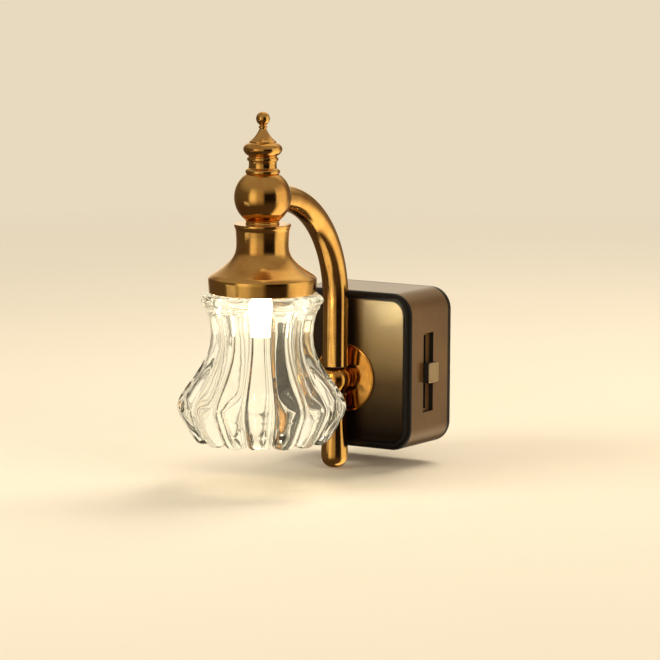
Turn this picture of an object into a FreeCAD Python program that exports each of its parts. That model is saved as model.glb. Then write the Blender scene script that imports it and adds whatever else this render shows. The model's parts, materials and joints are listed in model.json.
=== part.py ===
import FreeCAD, Part
import math
import operator
import os
import types

import Sketcher

# Plug-in night light: a square housing on two wall-outlet blades, a brightness slider in its side,
# and a crook arm that swings on a ball boss and carries a turned ball, a finial, a bell cap and a
# fluted clear shade round a frosted light rod.
# Frame: origin at the middle of the housing's back face, X to the right as one faces the wall,
# Y into the wall, Z up. Depths are measured from the wall towards the room, along -Y.

DIMENSIONS = {
    # housing
    "housing_width": 54.0,
    "housing_height": 57.0,
    "housing_depth": 30.4,
    "housing_corner": 8.0,
    "housing_wall": 2.4,
    "front_chamfer": 2.0,
    "rear_rounding": 1.8,
    "panel_margin": 2.6,
    "panel_thickness": 0.9,
    "panel_clearance": 0.1,
    "cover_thickness": 2.4,
    "cover_clearance": 0.15,
    "post_radius": 3.0,
    "post_inset": 7.0,
    "screw_radius": 1.2,
    "screw_length": 9.0,
    "screw_head_radius": 2.1,
    "screw_head_height": 1.3,
    # plug
    "blade_spacing": 12.7,
    "blade_width": 6.35,
    "blade_thickness": 1.5,
    "blade_reach": 16.5,
    "blade_drop": 12.2,
    "blade_clearance": 0.1,
    "blade_hole_radius": 1.6,
    "blade_hole_setback": 4.0,
    "holder_width": 26.0,
    "holder_height": 11.0,
    "holder_thickness": 6.0,
    # driver board
    "board_edge": 0.4,
    "board_height": 32.0,
    "board_rise": 1.0,
    "board_thickness": 1.6,
    "board_depth": 12.0,
    "pillar_radius": 2.2,
    "pillar_gap": 1.7,
    "pillar_rise": 13.0,
    "capacitor_radius": 5.0,
    "capacitor_gap": 2.4,
    "capacitor_offset": 13.5,
    "capacitor_drop": 6.5,
    "choke_flange_radius": 5.0,
    "choke_hub_radius": 2.5,
    "choke_flange_thickness": 1.2,
    "choke_length": 9.0,
    "choke_rise": 9.5,
    "winding_thickness": 1.9,
    "rectifier_side": 6.0,
    "rectifier_thickness": 2.6,
    "rectifier_offset": 5.5,
    "parts_drop": 11.6,
    "chip_side": 4.6,
    "chip_thickness": 1.6,
    "chip_offset": 6.5,
    "resistor_radius": 1.6,
    "resistor_length": 8.0,
    "resistor_offset": 13.0,
    "resistor_rise": 4.0,
    # brightness slider
    "slider_drop": 0.8,
    "recess_width": 6.5,
    "recess_depth": 1.4,
    "slit_width": 1.7,
    "slit_margin": 1.0,
    "slider_travel": 10.0,
    "knob_width": 7.0,
    "knob_height": 7.3,
    "knob_margin": 0.7,
    "knob_thickness": 2.4,
    "knob_rounding": 0.8,
    "knob_gap": 0.15,
    "lever_thickness": 1.3,
    "lever_height": 4.0,
    "dimmer_width": 7.0,
    "dimmer_height": 32.0,
    "dimmer_thickness": 6.4,
    "dimmer_sheet": 0.5,
    "dimmer_gap": 0.3,
    "track_thickness": 1.0,
    "carriage_height": 7.0,
    "carriage_clearance": 0.2,
    "wiper_thickness": 0.3,
    "pin_radius": 0.5,
    "pin_pitch": 10.0,
    # rosette, nipple and ball boss
    "arm_standoff": 7.0,
    "boss_drop": 3.2,
    "rosette_radius": 12.4,
    "rosette_edge": 0.8,
    "rosette_flat_radius": 4.4,
    "boss_radius": 5.35,
    "boss_flat_radius": 2.75,
    "boss_neck_radius": 2.8,
    "boss_web": 0.3,
    "boss_rest": 0.05,
    "nipple_radius": 1.9,
    "nipple_bore_radius": 1.1,
    "nipple_length": 10.0,
    "nut_thickness": 2.4,
    "nut_radius": 3.8,
    "washer_thickness": 0.6,
    "washer_radius": 4.6,
    # swivel and arm
    "swivel_radius": 2.4,
    "swivel_clearance": 0.05,
    "swivel_bore_radius": 1.7,
    "swivel_grip": 6.0,
    "swivel_washer_thickness": 0.4,
    "swivel_washer_gap": 0.05,
    "washer_inset": 0.6,
    "swivel_window_height": 3.4,
    "tube_radius": 4.7,
    "bend_radius": 40.0,
    "bend_angle": 84.0,
    "lamp_reach": 48.6,
    "tail_length": 27.11,
    "tail_top_radius": 4.3,
    "tail_waist_radius": 4.0,
    "tail_waist_drop": 7.0,
    "tail_bulb_radius": 5.0,
    "tail_bulb_height": 5.0,
    "tail_tip_radius": 3.0,
    "tail_tip_height": 0.9,
    "tail_curve": 150.0,
    "lead_radius": 0.9,
    "lead_bend_radius": 5.5,
    "lead_clearance": 0.05,
    # turned ball, ring and finial
    "ball_height": 66.7,
    "ball_radius": 10.05,
    "ball_flat_radius": 6.0,
    "ball_cavity_radius": 6.6,
    "stud_radius": 2.2,
    "stud_length": 3.2,
    "neck_ring_height": 1.3,
    "neck_ring_radius": 6.1,
    "finial_foot_radius": 6.1,
    "finial_foot_height": 2.0,
    "finial_neck_radius": 4.95,
    "finial_neck_height": 2.9,
    "finial_ring_radius": 5.55,
    "finial_ring_height": 1.5,
    "finial_bulb_radius": 6.95,
    "finial_bulb_height": 4.8,
    "finial_cone_radius": 4.75,
    "finial_cone_height": 4.9,
    "finial_tip_neck_radius": 1.1,
    "finial_collar_radius": 1.5,
    "finial_collar_height": 0.8,
    "finial_ball_radius": 2.45,
    "finial_bevel": 0.2,
    # bell cap
    "cap_lip_radius": 10.0,
    "cap_lip_height": 1.0,
    "cap_waist_radius": 9.2,
    "cap_waist_drop": 7.6,
    "cap_throat_drop": 10.6,
    "cap_flare_radius": 19.1,
    "cap_flare_drop": 19.2,
    "cap_band_height": 4.9,
    "cap_throat_radius": 9.8,
    "cap_waist_curve": 32.0,
    "cap_throat_curve": 9.0,
    "cap_flare_curve": 26.0,
    "cap_edge_rounding": 1.0,
    "cap_wall": 1.2,
    "cap_nipple_radius": 3.0,
    "cap_nipple_bore_radius": 1.4,
    "cap_nipple_length": 9.5,
    "cap_nut_radius": 5.0,
    "cap_nut_thickness": 2.4,
    # light engine
    "plate_radius": 16.7,
    "plate_thickness": 1.5,
    "hub_radius": 6.0,
    "hub_height": 3.4,
    "rod_radius": 4.0,
    "rod_length": 19.4,
    "rod_clearance": 0.05,
    "rod_chamfer": 0.4,
    "led_side": 3.5,
    "led_thickness": 1.0,
    "led_board_radius": 13.5,
    "led_board_thickness": 1.6,
    "spreader_radius": 11.5,
    "spreader_thickness": 1.5,
    "small_screw_radius": 0.9,
    "small_screw_offset": 9.0,
    # shade
    "flute_count": 16,
    "flute_depth": 1.5,
    "collar_radius": 17.2,
    "collar_height": 4.0,
    "gasket_height": 2.6,
    "shade_gap": 0.3,
    "bead_radius": 21.6,
    "bead_height": 5.0,
    "bead_rise": 2.4,
    "shade_neck_radius": 17.85,
    "shade_neck_drop": 14.8,
    "shade_belly_radius": 29.9,
    "shade_belly_drop": 39.4,
    "shade_mouth_radius": 23.8,
    "shade_height": 52.3,
    "flute_turn": 8.6,
    "shade_wall": 2.6,
}

DOC = FreeCAD.newDocument("NightLight")
SHEET = DOC.addObject("Spreadsheet::Sheet", "Sizes")
for row, (alias, number) in enumerate(DIMENSIONS.items(), start=1):
    SHEET.set(f"A{row}", alias.replace("_", " "))
    SHEET.set(f"B{row}", str(number))
    SHEET.setAlias(f"B{row}", alias)
DOC.recompute()


class Size:
    """A number together with the sheet formula that gives it, so sums keep both."""

    def __init__(self, value, text):
        self.value = float(value)
        self.text = text

    def __add__(self, other):
        return joined(self, "+", other)

    def __radd__(self, other):
        return joined(other, "+", self)

    def __sub__(self, other):
        return joined(self, "-", other)

    def __rsub__(self, other):
        return joined(other, "-", self)

    def __mul__(self, other):
        return joined(self, "*", other)

    def __rmul__(self, other):
        return joined(other, "*", self)

    def __truediv__(self, other):
        return joined(self, "/", other)

    def __neg__(self):
        return joined(0, "-", self)


SIGNS = {"+": operator.add, "-": operator.sub, "*": operator.mul, "/": operator.truediv}


def sized(item):
    return item if isinstance(item, Size) else Size(item, f"({float(item)})")


def joined(first, sign, second):
    first, second = sized(first), sized(second)
    return Size(SIGNS[sign](first.value, second.value), f"({first.text} {sign} {second.text})")


def sine(angle):
    return Size(math.sin(math.radians(angle.value)), f"sin({angle.text})")


def cosine(angle):
    return Size(math.cos(math.radians(angle.value)), f"cos({angle.text})")


def tangent(angle):
    return Size(math.tan(math.radians(angle.value)), f"tan({angle.text})")


def root(item):
    return Size(math.sqrt(item.value), f"sqrt({item.text})")


def half_chord(radius, offset):
    """Half the width of a circle at a distance from its centre."""
    return root(radius * radius - offset * offset)


s = types.SimpleNamespace(**{name: Size(number, f"Sizes.{name}") for name, number in DIMENSIONS.items()})
NODES = []


def bind(item, name, size):
    item.setExpression(name, sized(size).text)


def place(item, across=0, along=0, up=0, turn=None):
    """Puts an object at a point, after a turn about its own origin."""
    if turn is not None:
        item.Placement = FreeCAD.Placement(FreeCAD.Vector(), turn)
    for axis, value in zip("xyz", (across, along, up)):
        bind(item, f"Placement.Base.{axis}", value)
    return item


def node(item, label):
    """Keeps a finished sub-part under the name that its file gets."""
    item.Label = label
    NODES.append(item)
    return item


TO_ROOM = FreeCAD.Rotation(FreeCAD.Vector(1, 0, 0), 90)
TO_RIGHT = FreeCAD.Rotation(FreeCAD.Vector(0, 1, 0), 90)
TO_WALL = FreeCAD.Rotation(FreeCAD.Vector(1, 0, 0), -90)


# Part solids: boxes and cylinders, joined and cut.

def block(name, size, centre):
    item = DOC.addObject("Part::Box", name)
    for side, length in zip(("Length", "Width", "Height"), size):
        bind(item, side, length)
    return place(item, *[sized(middle) - sized(length) / 2 for middle, length in zip(centre, size)])


def cylinder(name, radius, length, across=0, along=0, up=0, turn=None):
    item = DOC.addObject("Part::Cylinder", name)
    bind(item, "Radius", radius)
    bind(item, "Height", length)
    return place(item, across, along, up, turn)


def cut(name, base, tool):
    item = DOC.addObject("Part::Cut", name)
    item.Base = base
    item.Tool = tool
    return item


def fused(name, shapes):
    item = DOC.addObject("Part::MultiFuse", name)
    item.Shapes = shapes
    return item


def group(name, shapes):
    item = DOC.addObject("Part::Compound", name)
    item.Links = shapes
    return item


def ring(name, outer, inner, length, across=0, along=0, up=0, turn=None):
    rim = cylinder(name + "_rim", outer, length, across, along, up, turn)
    hole = cylinder(name + "_hole", inner, length, across, along, up, turn)
    return cut(name, rim, hole)


def hexagon_nut(name, radius, bore, thickness, across=0, along=0, up=0, turn=None):
    prism = DOC.addObject("Part::Prism", name + "_prism")
    prism.Polygon = 6
    bind(prism, "Circumradius", radius)
    bind(prism, "Height", thickness)
    place(prism, across, along, up, turn)
    return cut(name, prism, cylinder(name + "_bore", bore, thickness, across, along, up, turn))


# Bodies with sketches, pads, pockets, revolutions and pipes.

def new_body(name, across=0, along=0, up=0):
    return place(DOC.addObject("PartDesign::Body", name), across, along, up)


def sketch_on(body, role, start=0, tilt=0):
    sketch = body.newObject("Sketcher::SketchObject", body.Name + "_sketch")
    plane = [item for item in body.Origin.OriginFeatures if item.Role == role][0]
    sketch.AttachmentSupport = [(plane, "")]
    sketch.MapMode = "FlatFace"
    if tilt:
        sketch.AttachmentOffset = FreeCAD.Placement(
            FreeCAD.Vector(), FreeCAD.Rotation(FreeCAD.Vector(1, 0, 0), sized(tilt).value))
        bind(sketch, "AttachmentOffset.Rotation.Angle", tilt)
    bind(sketch, "AttachmentOffset.Base.z", start)
    return sketch


def hold(sketch, size, kind, *where):
    """Adds a constraint whose value follows the sheet."""
    index = sketch.addConstraint(Sketcher.Constraint(kind, *where, size.value))
    bind(sketch, f"Constraints[{index}]", size)


def hold_point(sketch, geometry, end, across, up):
    hold(sketch, sized(across), "DistanceX", -1, 1, geometry, end)
    hold(sketch, sized(up), "DistanceY", -1, 1, geometry, end)


def add_circle(sketch, radius, across=0, up=0):
    middle = FreeCAD.Vector(sized(across).value, sized(up).value, 0)
    geometry = sketch.addGeometry(Part.Circle(middle, FreeCAD.Vector(0, 0, 1), radius.value))
    hold_point(sketch, geometry, 3, across, up)
    hold(sketch, radius, "Radius", geometry)
    return sketch


def arc_centre(first, last, radius, side):
    """Centre of an arc of less than half a circle, to the left of travel where side is 1."""
    middle = (first + last) * 0.5
    run = last - first
    height = math.sqrt(max(radius * radius - run.Length * run.Length / 4, 0.0))
    left = FreeCAD.Vector(-run.y, run.x, 0).normalize()
    return middle + left * (height * side)


def add_path(sketch, points, arcs=None, closed=True):
    """Lines through points; arcs gives, by the side's number, its radius and the side of its centre."""
    arcs = arcs or {}
    spots = [FreeCAD.Vector(sized(x).value, sized(y).value, 0) for x, y in points]
    count = len(points) if closed else len(points) - 1
    ends = []
    for number in range(count):
        first, last = spots[number], spots[(number + 1) % len(points)]
        if number in arcs:
            radius, side = arcs[number]
            centre = arc_centre(first, last, sized(radius).value, side)
            begin, finish = (first, last) if side > 0 else (last, first)
            angles = [math.atan2(spot.y - centre.y, spot.x - centre.x) for spot in (begin, finish)]
            if angles[1] < angles[0]:
                angles[1] += 2 * math.pi
            circle = Part.Circle(centre, FreeCAD.Vector(0, 0, 1), sized(radius).value)
            geometry = sketch.addGeometry(Part.ArcOfCircle(circle, *angles))
            ends.append((geometry, 1, 2) if side > 0 else (geometry, 2, 1))
        else:
            geometry = sketch.addGeometry(Part.LineSegment(first, last))
            ends.append((geometry, 1, 2))
    for number, (geometry, start, finish) in enumerate(ends):
        if closed or number + 1 < count:
            following = ends[(number + 1) % count]
            sketch.addConstraint(Sketcher.Constraint("Coincident", geometry, finish, following[0], following[1]))
        hold_point(sketch, geometry, start, *points[number])
        if number in arcs:
            hold(sketch, sized(arcs[number][0]), "Radius", geometry)
    if not closed:
        hold_point(sketch, ends[-1][0], ends[-1][2], *points[-1])
    return sketch


def add_rectangle(sketch, width, height, corner=0, across=0, up=0):
    """A rectangle round a point, with round corners where a corner radius is given."""
    half_x, half_y = sized(width) / 2, sized(height) / 2
    if not isinstance(corner, Size):
        signs = ((1, -1), (1, 1), (-1, 1), (-1, -1))
        return add_path(sketch, [(across + half_x * x, up + half_y * y) for x, y in signs])
    inner_x, inner_y = half_x - corner, half_y - corner
    turns = ((1, -1, 0, -1), (1, -1, 1, 0), (1, 1, 1, 0), (1, 1, 0, 1),
             (-1, 1, 0, 1), (-1, 1, -1, 0), (-1, -1, -1, 0), (-1, -1, 0, -1))
    points = [(across + inner_x * x + corner * a, up + inner_y * y + corner * b) for x, y, a, b in turns]
    return add_path(sketch, points, {number: (corner, 1) for number in (0, 2, 4, 6)})


def grown(body, feature):
    """Recomputes after a feature and checks that it left a solid."""
    DOC.recompute()
    if feature.Shape.isNull() or feature.Shape.Volume <= 0:
        raise RuntimeError(f"{body.Name}: {feature.Name} made nothing")
    return feature


def pad(body, sketch, length, backwards=False):
    feature = body.newObject("PartDesign::Pad", body.Name + "_pad")
    feature.Profile = sketch
    feature.Reversed = backwards
    bind(feature, "Length", length)
    return grown(body, feature)


def pocket(body, sketch, length, backwards=False):
    """Cuts along the sketch's normal, or against it where backwards is set."""
    before = body.Shape.Volume
    feature = body.newObject("PartDesign::Pocket", body.Name + "_pocket")
    feature.Profile = sketch
    feature.Reversed = not backwards
    bind(feature, "Length", length)
    grown(body, feature)
    if body.Shape.Volume >= before:
        raise RuntimeError(f"{body.Name}: {feature.Name} cut nothing")
    return feature


def revolve(body, sketch, axis="V_Axis"):
    feature = body.newObject("PartDesign::Revolution", body.Name + "_turned")
    feature.Profile = sketch
    feature.ReferenceAxis = (sketch, [axis])
    feature.Angle = 360
    return grown(body, feature)


def dress(body, kind, base, wanted, size):
    """Rounds or bevels the edges of a feature that pass a test."""
    names = [f"Edge{number}" for number, edge in enumerate(base.Shape.Edges, start=1) if wanted(edge)]
    feature = body.newObject(kind, body.Name + "_edge")
    feature.Base = (base, names)
    bind(feature, "Size" if kind.endswith("Chamfer") else "Radius", size)
    return grown(body, feature)


def at_level(axis, level):
    """Tests whether an edge lies wholly at one level along an axis."""
    def wanted(edge):
        box = edge.BoundBox
        low, high = getattr(box, axis + "Min"), getattr(box, axis + "Max")
        return abs(low - level) < 1e-4 and abs(high - level) < 1e-4
    return wanted


# Places that several sub-parts share.
front_inside = s.housing_depth - s.housing_wall
inside_width = s.housing_width - 2 * s.housing_wall
inside_height = s.housing_height - 2 * s.housing_wall
inside_corner = s.housing_corner - s.housing_wall
post_x = s.housing_width / 2 - s.post_inset
post_z = s.housing_height / 2 - s.post_inset
board_front = s.board_depth + s.board_thickness
capacitor_length = front_inside - board_front - s.capacitor_gap
slider_depth = board_front + s.dimmer_width / 2
arm_depth = s.housing_depth + s.arm_standoff
rosette_dome = s.arm_standoff - s.boss_radius - s.rosette_edge - s.boss_rest
boss_z = -s.boss_drop
boss_flat = half_chord(s.boss_radius, s.boss_flat_radius)
rosette_face = s.housing_depth + s.rosette_edge + rosette_dome
lamp_y = -(arm_depth + s.lamp_reach)
bend_out = s.bend_radius * (1 - cosine(s.bend_angle))
last_run = (s.lamp_reach - bend_out) / sine(s.bend_angle)
bar_top = s.ball_height - s.bend_radius * sine(s.bend_angle) - last_run * cosine(s.bend_angle)
ball_flat = half_chord(s.ball_radius, s.ball_flat_radius)
cap_top = s.ball_height - ball_flat - s.neck_ring_height
cap_bottom = cap_top - s.cap_flare_drop - s.cap_band_height
collar_top = cap_bottom - s.shade_gap + s.collar_height
plate_top = collar_top + s.plate_thickness
led_board_top = plate_top + s.led_board_thickness
spreader_top = led_board_top + s.spreader_thickness
slider_z = -s.slider_drop
dimmer_outer = s.housing_width / 2 - s.housing_wall - s.dimmer_gap
dimmer_x = dimmer_outer - s.dimmer_thickness / 2
board_width = 2 * (dimmer_x + s.pin_radius + s.board_edge)
pillar_offset = dimmer_x - s.dimmer_thickness / 2 - s.pillar_gap - s.pillar_radius
recess_height = s.knob_height + 2 * (s.slider_travel + s.knob_margin)
slit_height = recess_height - 2 * s.slit_margin
CORNERS = ((1, 1), (-1, 1), (-1, -1), (1, -1))


def make_housing_shell():
    """Open at the back, with four screw posts, two board pillars and the slider's recess."""
    body = new_body("HousingShell")
    outline = add_rectangle(sketch_on(body, "XZ_Plane"), s.housing_width, s.housing_height, s.housing_corner)
    base = pad(body, outline, s.housing_depth)
    base = dress(body, "PartDesign::Chamfer", base, at_level("Y", -s.housing_depth.value), s.front_chamfer)
    dress(body, "PartDesign::Fillet", base, at_level("Y", 0.0), s.rear_rounding)
    hollow = add_rectangle(sketch_on(body, "XZ_Plane"), inside_width, inside_height, inside_corner)
    pocket(body, hollow, front_inside)
    posts = sketch_on(body, "XZ_Plane", s.cover_thickness)
    for x, z in CORNERS:
        add_circle(posts, s.post_radius, post_x * x, post_z * z)
    pad(body, posts, s.housing_depth - s.cover_thickness - s.housing_wall / 2)
    pillars = sketch_on(body, "XZ_Plane", board_front)
    for x in (1, -1):
        add_circle(pillars, s.pillar_radius, pillar_offset * x, s.pillar_rise)
    pad(body, pillars, s.housing_depth - board_front - s.housing_wall / 2)
    for start, spots, length in (
            (s.cover_thickness, [(post_x * x, post_z * z) for x, z in CORNERS], s.screw_length),
            (board_front, [(pillar_offset * x, s.pillar_rise) for x in (1, -1)], s.screw_length / 2)):
        holes = sketch_on(body, "XZ_Plane", start)
        for x, z in spots:
            add_circle(holes, s.screw_radius, x, z)
        pocket(body, holes, length - s.cover_thickness / 2)
    inlay = add_rectangle(
        sketch_on(body, "XZ_Plane", s.housing_depth - s.panel_thickness),
        s.housing_width - 2 * s.panel_margin, s.housing_height - 2 * s.panel_margin,
        s.housing_corner - s.panel_margin)
    pocket(body, inlay, s.panel_thickness)
    way = add_circle(sketch_on(body, "XZ_Plane", front_inside), s.nipple_radius, 0, boss_z)
    pocket(body, way, s.housing_wall)
    recess = add_rectangle(
        sketch_on(body, "YZ_Plane", s.housing_width / 2 - s.recess_depth),
        s.recess_width, recess_height, 0, -slider_depth, slider_z)
    pocket(body, recess, s.recess_depth)
    slit = add_rectangle(
        sketch_on(body, "YZ_Plane", s.housing_width / 2 - s.housing_wall),
        s.slit_width, slit_height, 0, -slider_depth, slider_z)
    pocket(body, slit, s.housing_wall)
    return node(body, "housing_shell")


def make_front_panel():
    body = new_body("FrontPanel")
    outline = add_rectangle(
        sketch_on(body, "XZ_Plane", s.housing_depth - s.panel_thickness),
        s.housing_width - 2 * (s.panel_margin + s.panel_clearance),
        s.housing_height - 2 * (s.panel_margin + s.panel_clearance),
        s.housing_corner - s.panel_margin - s.panel_clearance)
    add_circle(outline, s.nipple_radius, 0, boss_z)
    pad(body, outline, s.panel_thickness)
    return node(body, "front_panel")


def make_rear_cover():
    body = new_body("RearCover")
    outline = add_rectangle(
        sketch_on(body, "XZ_Plane"), inside_width - 2 * s.cover_clearance,
        inside_height - 2 * s.cover_clearance, inside_corner - s.cover_clearance)
    for x in (1, -1):
        add_rectangle(outline, s.blade_thickness + 2 * s.blade_clearance,
                      s.blade_width + 2 * s.blade_clearance, 0, s.blade_spacing / 2 * x, -s.blade_drop)
    for x, z in CORNERS:
        add_circle(outline, s.screw_radius, post_x * x, post_z * z)
    pad(body, outline, s.cover_thickness)
    sinks = sketch_on(body, "XZ_Plane")
    for x, z in CORNERS:
        add_circle(sinks, s.screw_head_radius, post_x * x, post_z * z)
    pocket(body, sinks, s.screw_head_height)
    return node(body, "rear_cover")


def make_screw(name, across, along, up, head_radius, head_height, radius, length, turn):
    """A screw whose head starts at the point and whose shank points along the turn."""
    head = cylinder(name + "_head", head_radius, head_height, across, along, up, turn)
    shank = cylinder(name + "_shank", radius, length, across, along, up, turn)
    cross = [block(f"{name}_slot{number}", size, (across, along, up)) for number, size in enumerate((
        (head_radius * 1.2, head_height, head_radius * 0.25),
        (head_radius * 0.25, head_height, head_radius * 1.2)))]
    return cut(name, fused(name + "_blank", [head, shank]), fused(name + "_cross", cross))


def make_cover_screws():
    screws = [make_screw(f"CoverScrew{number}", post_x * x, 0, post_z * z, s.screw_head_radius,
                         s.screw_head_height, s.screw_radius, s.screw_length, TO_ROOM)
              for number, (x, z) in enumerate(CORNERS)]
    return node(group("CoverScrews", screws), "cover_screws")


def make_plug_blade(name, side):
    """A flat blade with a hole near its rounded tip, soldered to the board at its other end."""
    body = new_body(name, s.blade_spacing / 2 * side, 0, -s.blade_drop)
    half = s.blade_width / 2
    tip = half - s.blade_thickness
    outline = sketch_on(body, "YZ_Plane", -s.blade_thickness / 2)
    add_path(outline, [(-s.board_depth, -half), (s.blade_reach - s.blade_thickness, -half),
                       (s.blade_reach, -tip), (s.blade_reach, tip),
                       (s.blade_reach - s.blade_thickness, half), (-s.board_depth, half)],
             {1: (s.blade_thickness, 1), 3: (s.blade_thickness, 1)})
    add_circle(outline, s.blade_hole_radius, s.blade_reach - s.blade_hole_setback, 0)
    pad(body, outline, s.blade_thickness)
    return node(body, "plug_blade_right" if side > 0 else "plug_blade_left")


def make_blade_holder():
    body = new_body("BladeHolder", 0, 0, -s.blade_drop)
    outline = sketch_on(body, "XZ_Plane", s.cover_thickness)
    add_rectangle(outline, s.holder_width, s.holder_height)
    for x in (1, -1):
        add_rectangle(outline, s.blade_thickness, s.blade_width, 0, s.blade_spacing / 2 * x, 0)
    pad(body, outline, s.holder_thickness)
    return node(body, "blade_holder")


def make_driver_board():
    body = new_body("DriverBoard")
    outline = sketch_on(body, "XZ_Plane", s.board_depth)
    add_rectangle(outline, board_width, s.board_height, 0, 0, s.board_rise)
    for x in (1, -1):
        add_circle(outline, s.screw_radius, pillar_offset * x, s.pillar_rise)
    for number in (-1, 0, 1):
        add_circle(outline, s.pin_radius, dimmer_x, slider_z + s.pin_pitch * number)
    pad(body, outline, s.board_thickness)
    return node(body, "driver_board")


def make_board_screws():
    start = -(s.board_depth - s.screw_head_height)
    screws = [make_screw(f"BoardScrew{number}", pillar_offset * x, start, s.pillar_rise, s.screw_head_radius,
                         s.screw_head_height, s.screw_radius, s.screw_length / 2, TO_ROOM)
              for number, x in enumerate((1, -1))]
    return node(group("BoardScrews", screws), "board_screws")


def make_board_parts():
    """What stands on the room side of the driver board."""
    face = -board_front
    can = cylinder("Capacitor", s.capacitor_radius, capacitor_length,
                   -s.capacitor_offset, face, -s.capacitor_drop, TO_ROOM)
    node(can, "filter_capacitor")
    drum = new_body("ChokeCore", 0, face, s.choke_rise)
    flange, far = s.choke_flange_thickness, s.choke_length
    add_path(profile := sketch_on(drum, "XY_Plane"), [
        (0, 0), (s.choke_flange_radius, 0), (s.choke_flange_radius, -flange), (s.choke_hub_radius, -flange),
        (s.choke_hub_radius, flange - far), (s.choke_flange_radius, flange - far),
        (s.choke_flange_radius, -far), (0, -far)])
    revolve(drum, profile)
    node(drum, "choke_core")
    node(ring("ChokeWinding", s.choke_hub_radius + s.winding_thickness, s.choke_hub_radius,
              far - 2 * flange, 0, face - flange, s.choke_rise, TO_ROOM), "choke_winding")
    node(block("Rectifier", (s.rectifier_side, s.rectifier_thickness, s.rectifier_side / 2 * 1.5),
               (-s.rectifier_offset, face - s.rectifier_thickness / 2, -s.parts_drop)), "bridge_rectifier")
    node(block("DriverChip", (s.chip_side, s.chip_thickness, s.chip_side),
               (s.chip_offset, face - s.chip_thickness / 2, -s.parts_drop)), "driver_chip")
    node(cylinder("FuseResistor", s.resistor_radius, s.resistor_length,
                  -s.resistor_offset - s.resistor_length / 2, face - s.resistor_radius,
                  s.resistor_rise, TO_RIGHT), "fuse_resistor")


def make_dimmer():
    """Slide potentiometer behind the side wall, with its carriage, wiper and knob."""
    outer_x, middle_x = dimmer_outer, dimmer_x
    inner_x = outer_x - s.dimmer_thickness
    along = -slider_depth
    sheet2 = 2 * s.dimmer_sheet
    case = block("DimmerCase_can", (s.dimmer_thickness, s.dimmer_width, s.dimmer_height),
                 (middle_x, along, slider_z))
    hollow = block("DimmerCase_hollow",
                   (s.dimmer_thickness - sheet2, s.dimmer_width - sheet2, s.dimmer_height - sheet2),
                   (middle_x, along, slider_z))
    mouth = block("DimmerCase_mouth", (sheet2 * 2, s.slit_width, slit_height),
                  (outer_x, -slider_depth, slider_z))
    node(cut("DimmerCase", case, fused("DimmerCase_cuts", [hollow, mouth])), "dimmer_case")
    track_x = inner_x + s.dimmer_sheet
    node(block("DimmerTrack", (s.track_thickness, s.dimmer_width - sheet2, s.dimmer_height - sheet2),
               (track_x + s.track_thickness / 2, along, slider_z)), "dimmer_track")
    pins = [cylinder(f"DimmerPin{number}", s.pin_radius, s.board_thickness,
                     middle_x, -s.board_depth, slider_z + s.pin_pitch * number, TO_ROOM)
            for number in (-1, 0, 1)]
    node(group("DimmerPins", pins), "dimmer_pins")
    rub = track_x + s.track_thickness + s.carriage_clearance + s.wiper_thickness
    top = outer_x - s.dimmer_sheet - s.carriage_clearance
    carriage = block("Carriage_block", (top - rub, s.dimmer_width - sheet2 - 2 * s.carriage_clearance,
                                        s.carriage_height), ((top + rub) / 2, along, slider_z))
    knob_in = s.housing_width / 2 + s.knob_gap
    lever_end = knob_in + s.knob_thickness / 2
    lever = block("Carriage_lever", (lever_end - middle_x, s.lever_thickness, s.lever_height),
                  ((lever_end + middle_x) / 2, -slider_depth, slider_z))
    node(fused("SlideCarriage", [carriage, lever]), "slide_carriage")
    wiper = block("WiperContact", (s.wiper_thickness, s.dimmer_width / 2, s.carriage_height * 0.7),
                  (rub - s.wiper_thickness / 2, along, slider_z))
    node(wiper, "wiper_contact")
    knob = new_body("SliderKnob", knob_in, -slider_depth, slider_z)
    outline = add_rectangle(sketch_on(knob, "YZ_Plane"), s.knob_width, s.knob_height)
    base = pad(knob, outline, s.knob_thickness)
    base = dress(knob, "PartDesign::Fillet", base,
                 lambda edge: edge.BoundBox.XLength > 0.5 * s.knob_thickness.value, s.knob_rounding)
    dress(knob, "PartDesign::Fillet", base, at_level("X", s.knob_thickness.value), s.knob_rounding / 2)
    socket = add_rectangle(sketch_on(knob, "YZ_Plane"), s.lever_thickness, s.lever_height)
    pocket(knob, socket, s.knob_thickness / 2)
    node(knob, "slider_knob")


def make_rosette():
    """A shallow polished dome against the front panel, drilled for the nipple."""
    body = new_body("Rosette", 0, -s.housing_depth, boss_z)
    rise = rosette_dome
    spread = s.rosette_radius - s.rosette_flat_radius
    bow = (spread * spread + rise * rise) / (rise * 1.6)
    profile = add_path(sketch_on(body, "XY_Plane"), [
        (s.nipple_radius, 0), (s.rosette_radius, 0), (s.rosette_radius, -s.rosette_edge),
        (s.rosette_flat_radius, -(s.rosette_edge + rise)), (s.nipple_radius, -(s.rosette_edge + rise))],
        {2: (bow, -1)})
    revolve(body, profile)
    return node(body, "rosette")


def make_nipple():
    """Hollow threaded nipple from inside the housing to the ball boss, with its nut and washer."""
    far = arm_depth - s.swivel_radius - s.swivel_clearance - s.boss_web
    near = far - s.nipple_length
    node(ring("MountNipple", s.nipple_radius, s.nipple_bore_radius, s.nipple_length,
              0, -near, boss_z, TO_ROOM), "mount_nipple")
    node(ring("MountWasher", s.washer_radius, s.nipple_radius, s.washer_thickness,
              0, -(front_inside - s.washer_thickness), boss_z, TO_ROOM), "mount_washer")
    node(hexagon_nut("MountNut", s.nut_radius, s.nipple_radius, s.nut_thickness,
                     0, -(front_inside - s.washer_thickness - s.nut_thickness), boss_z, TO_ROOM), "mount_nut")
    return far


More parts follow.
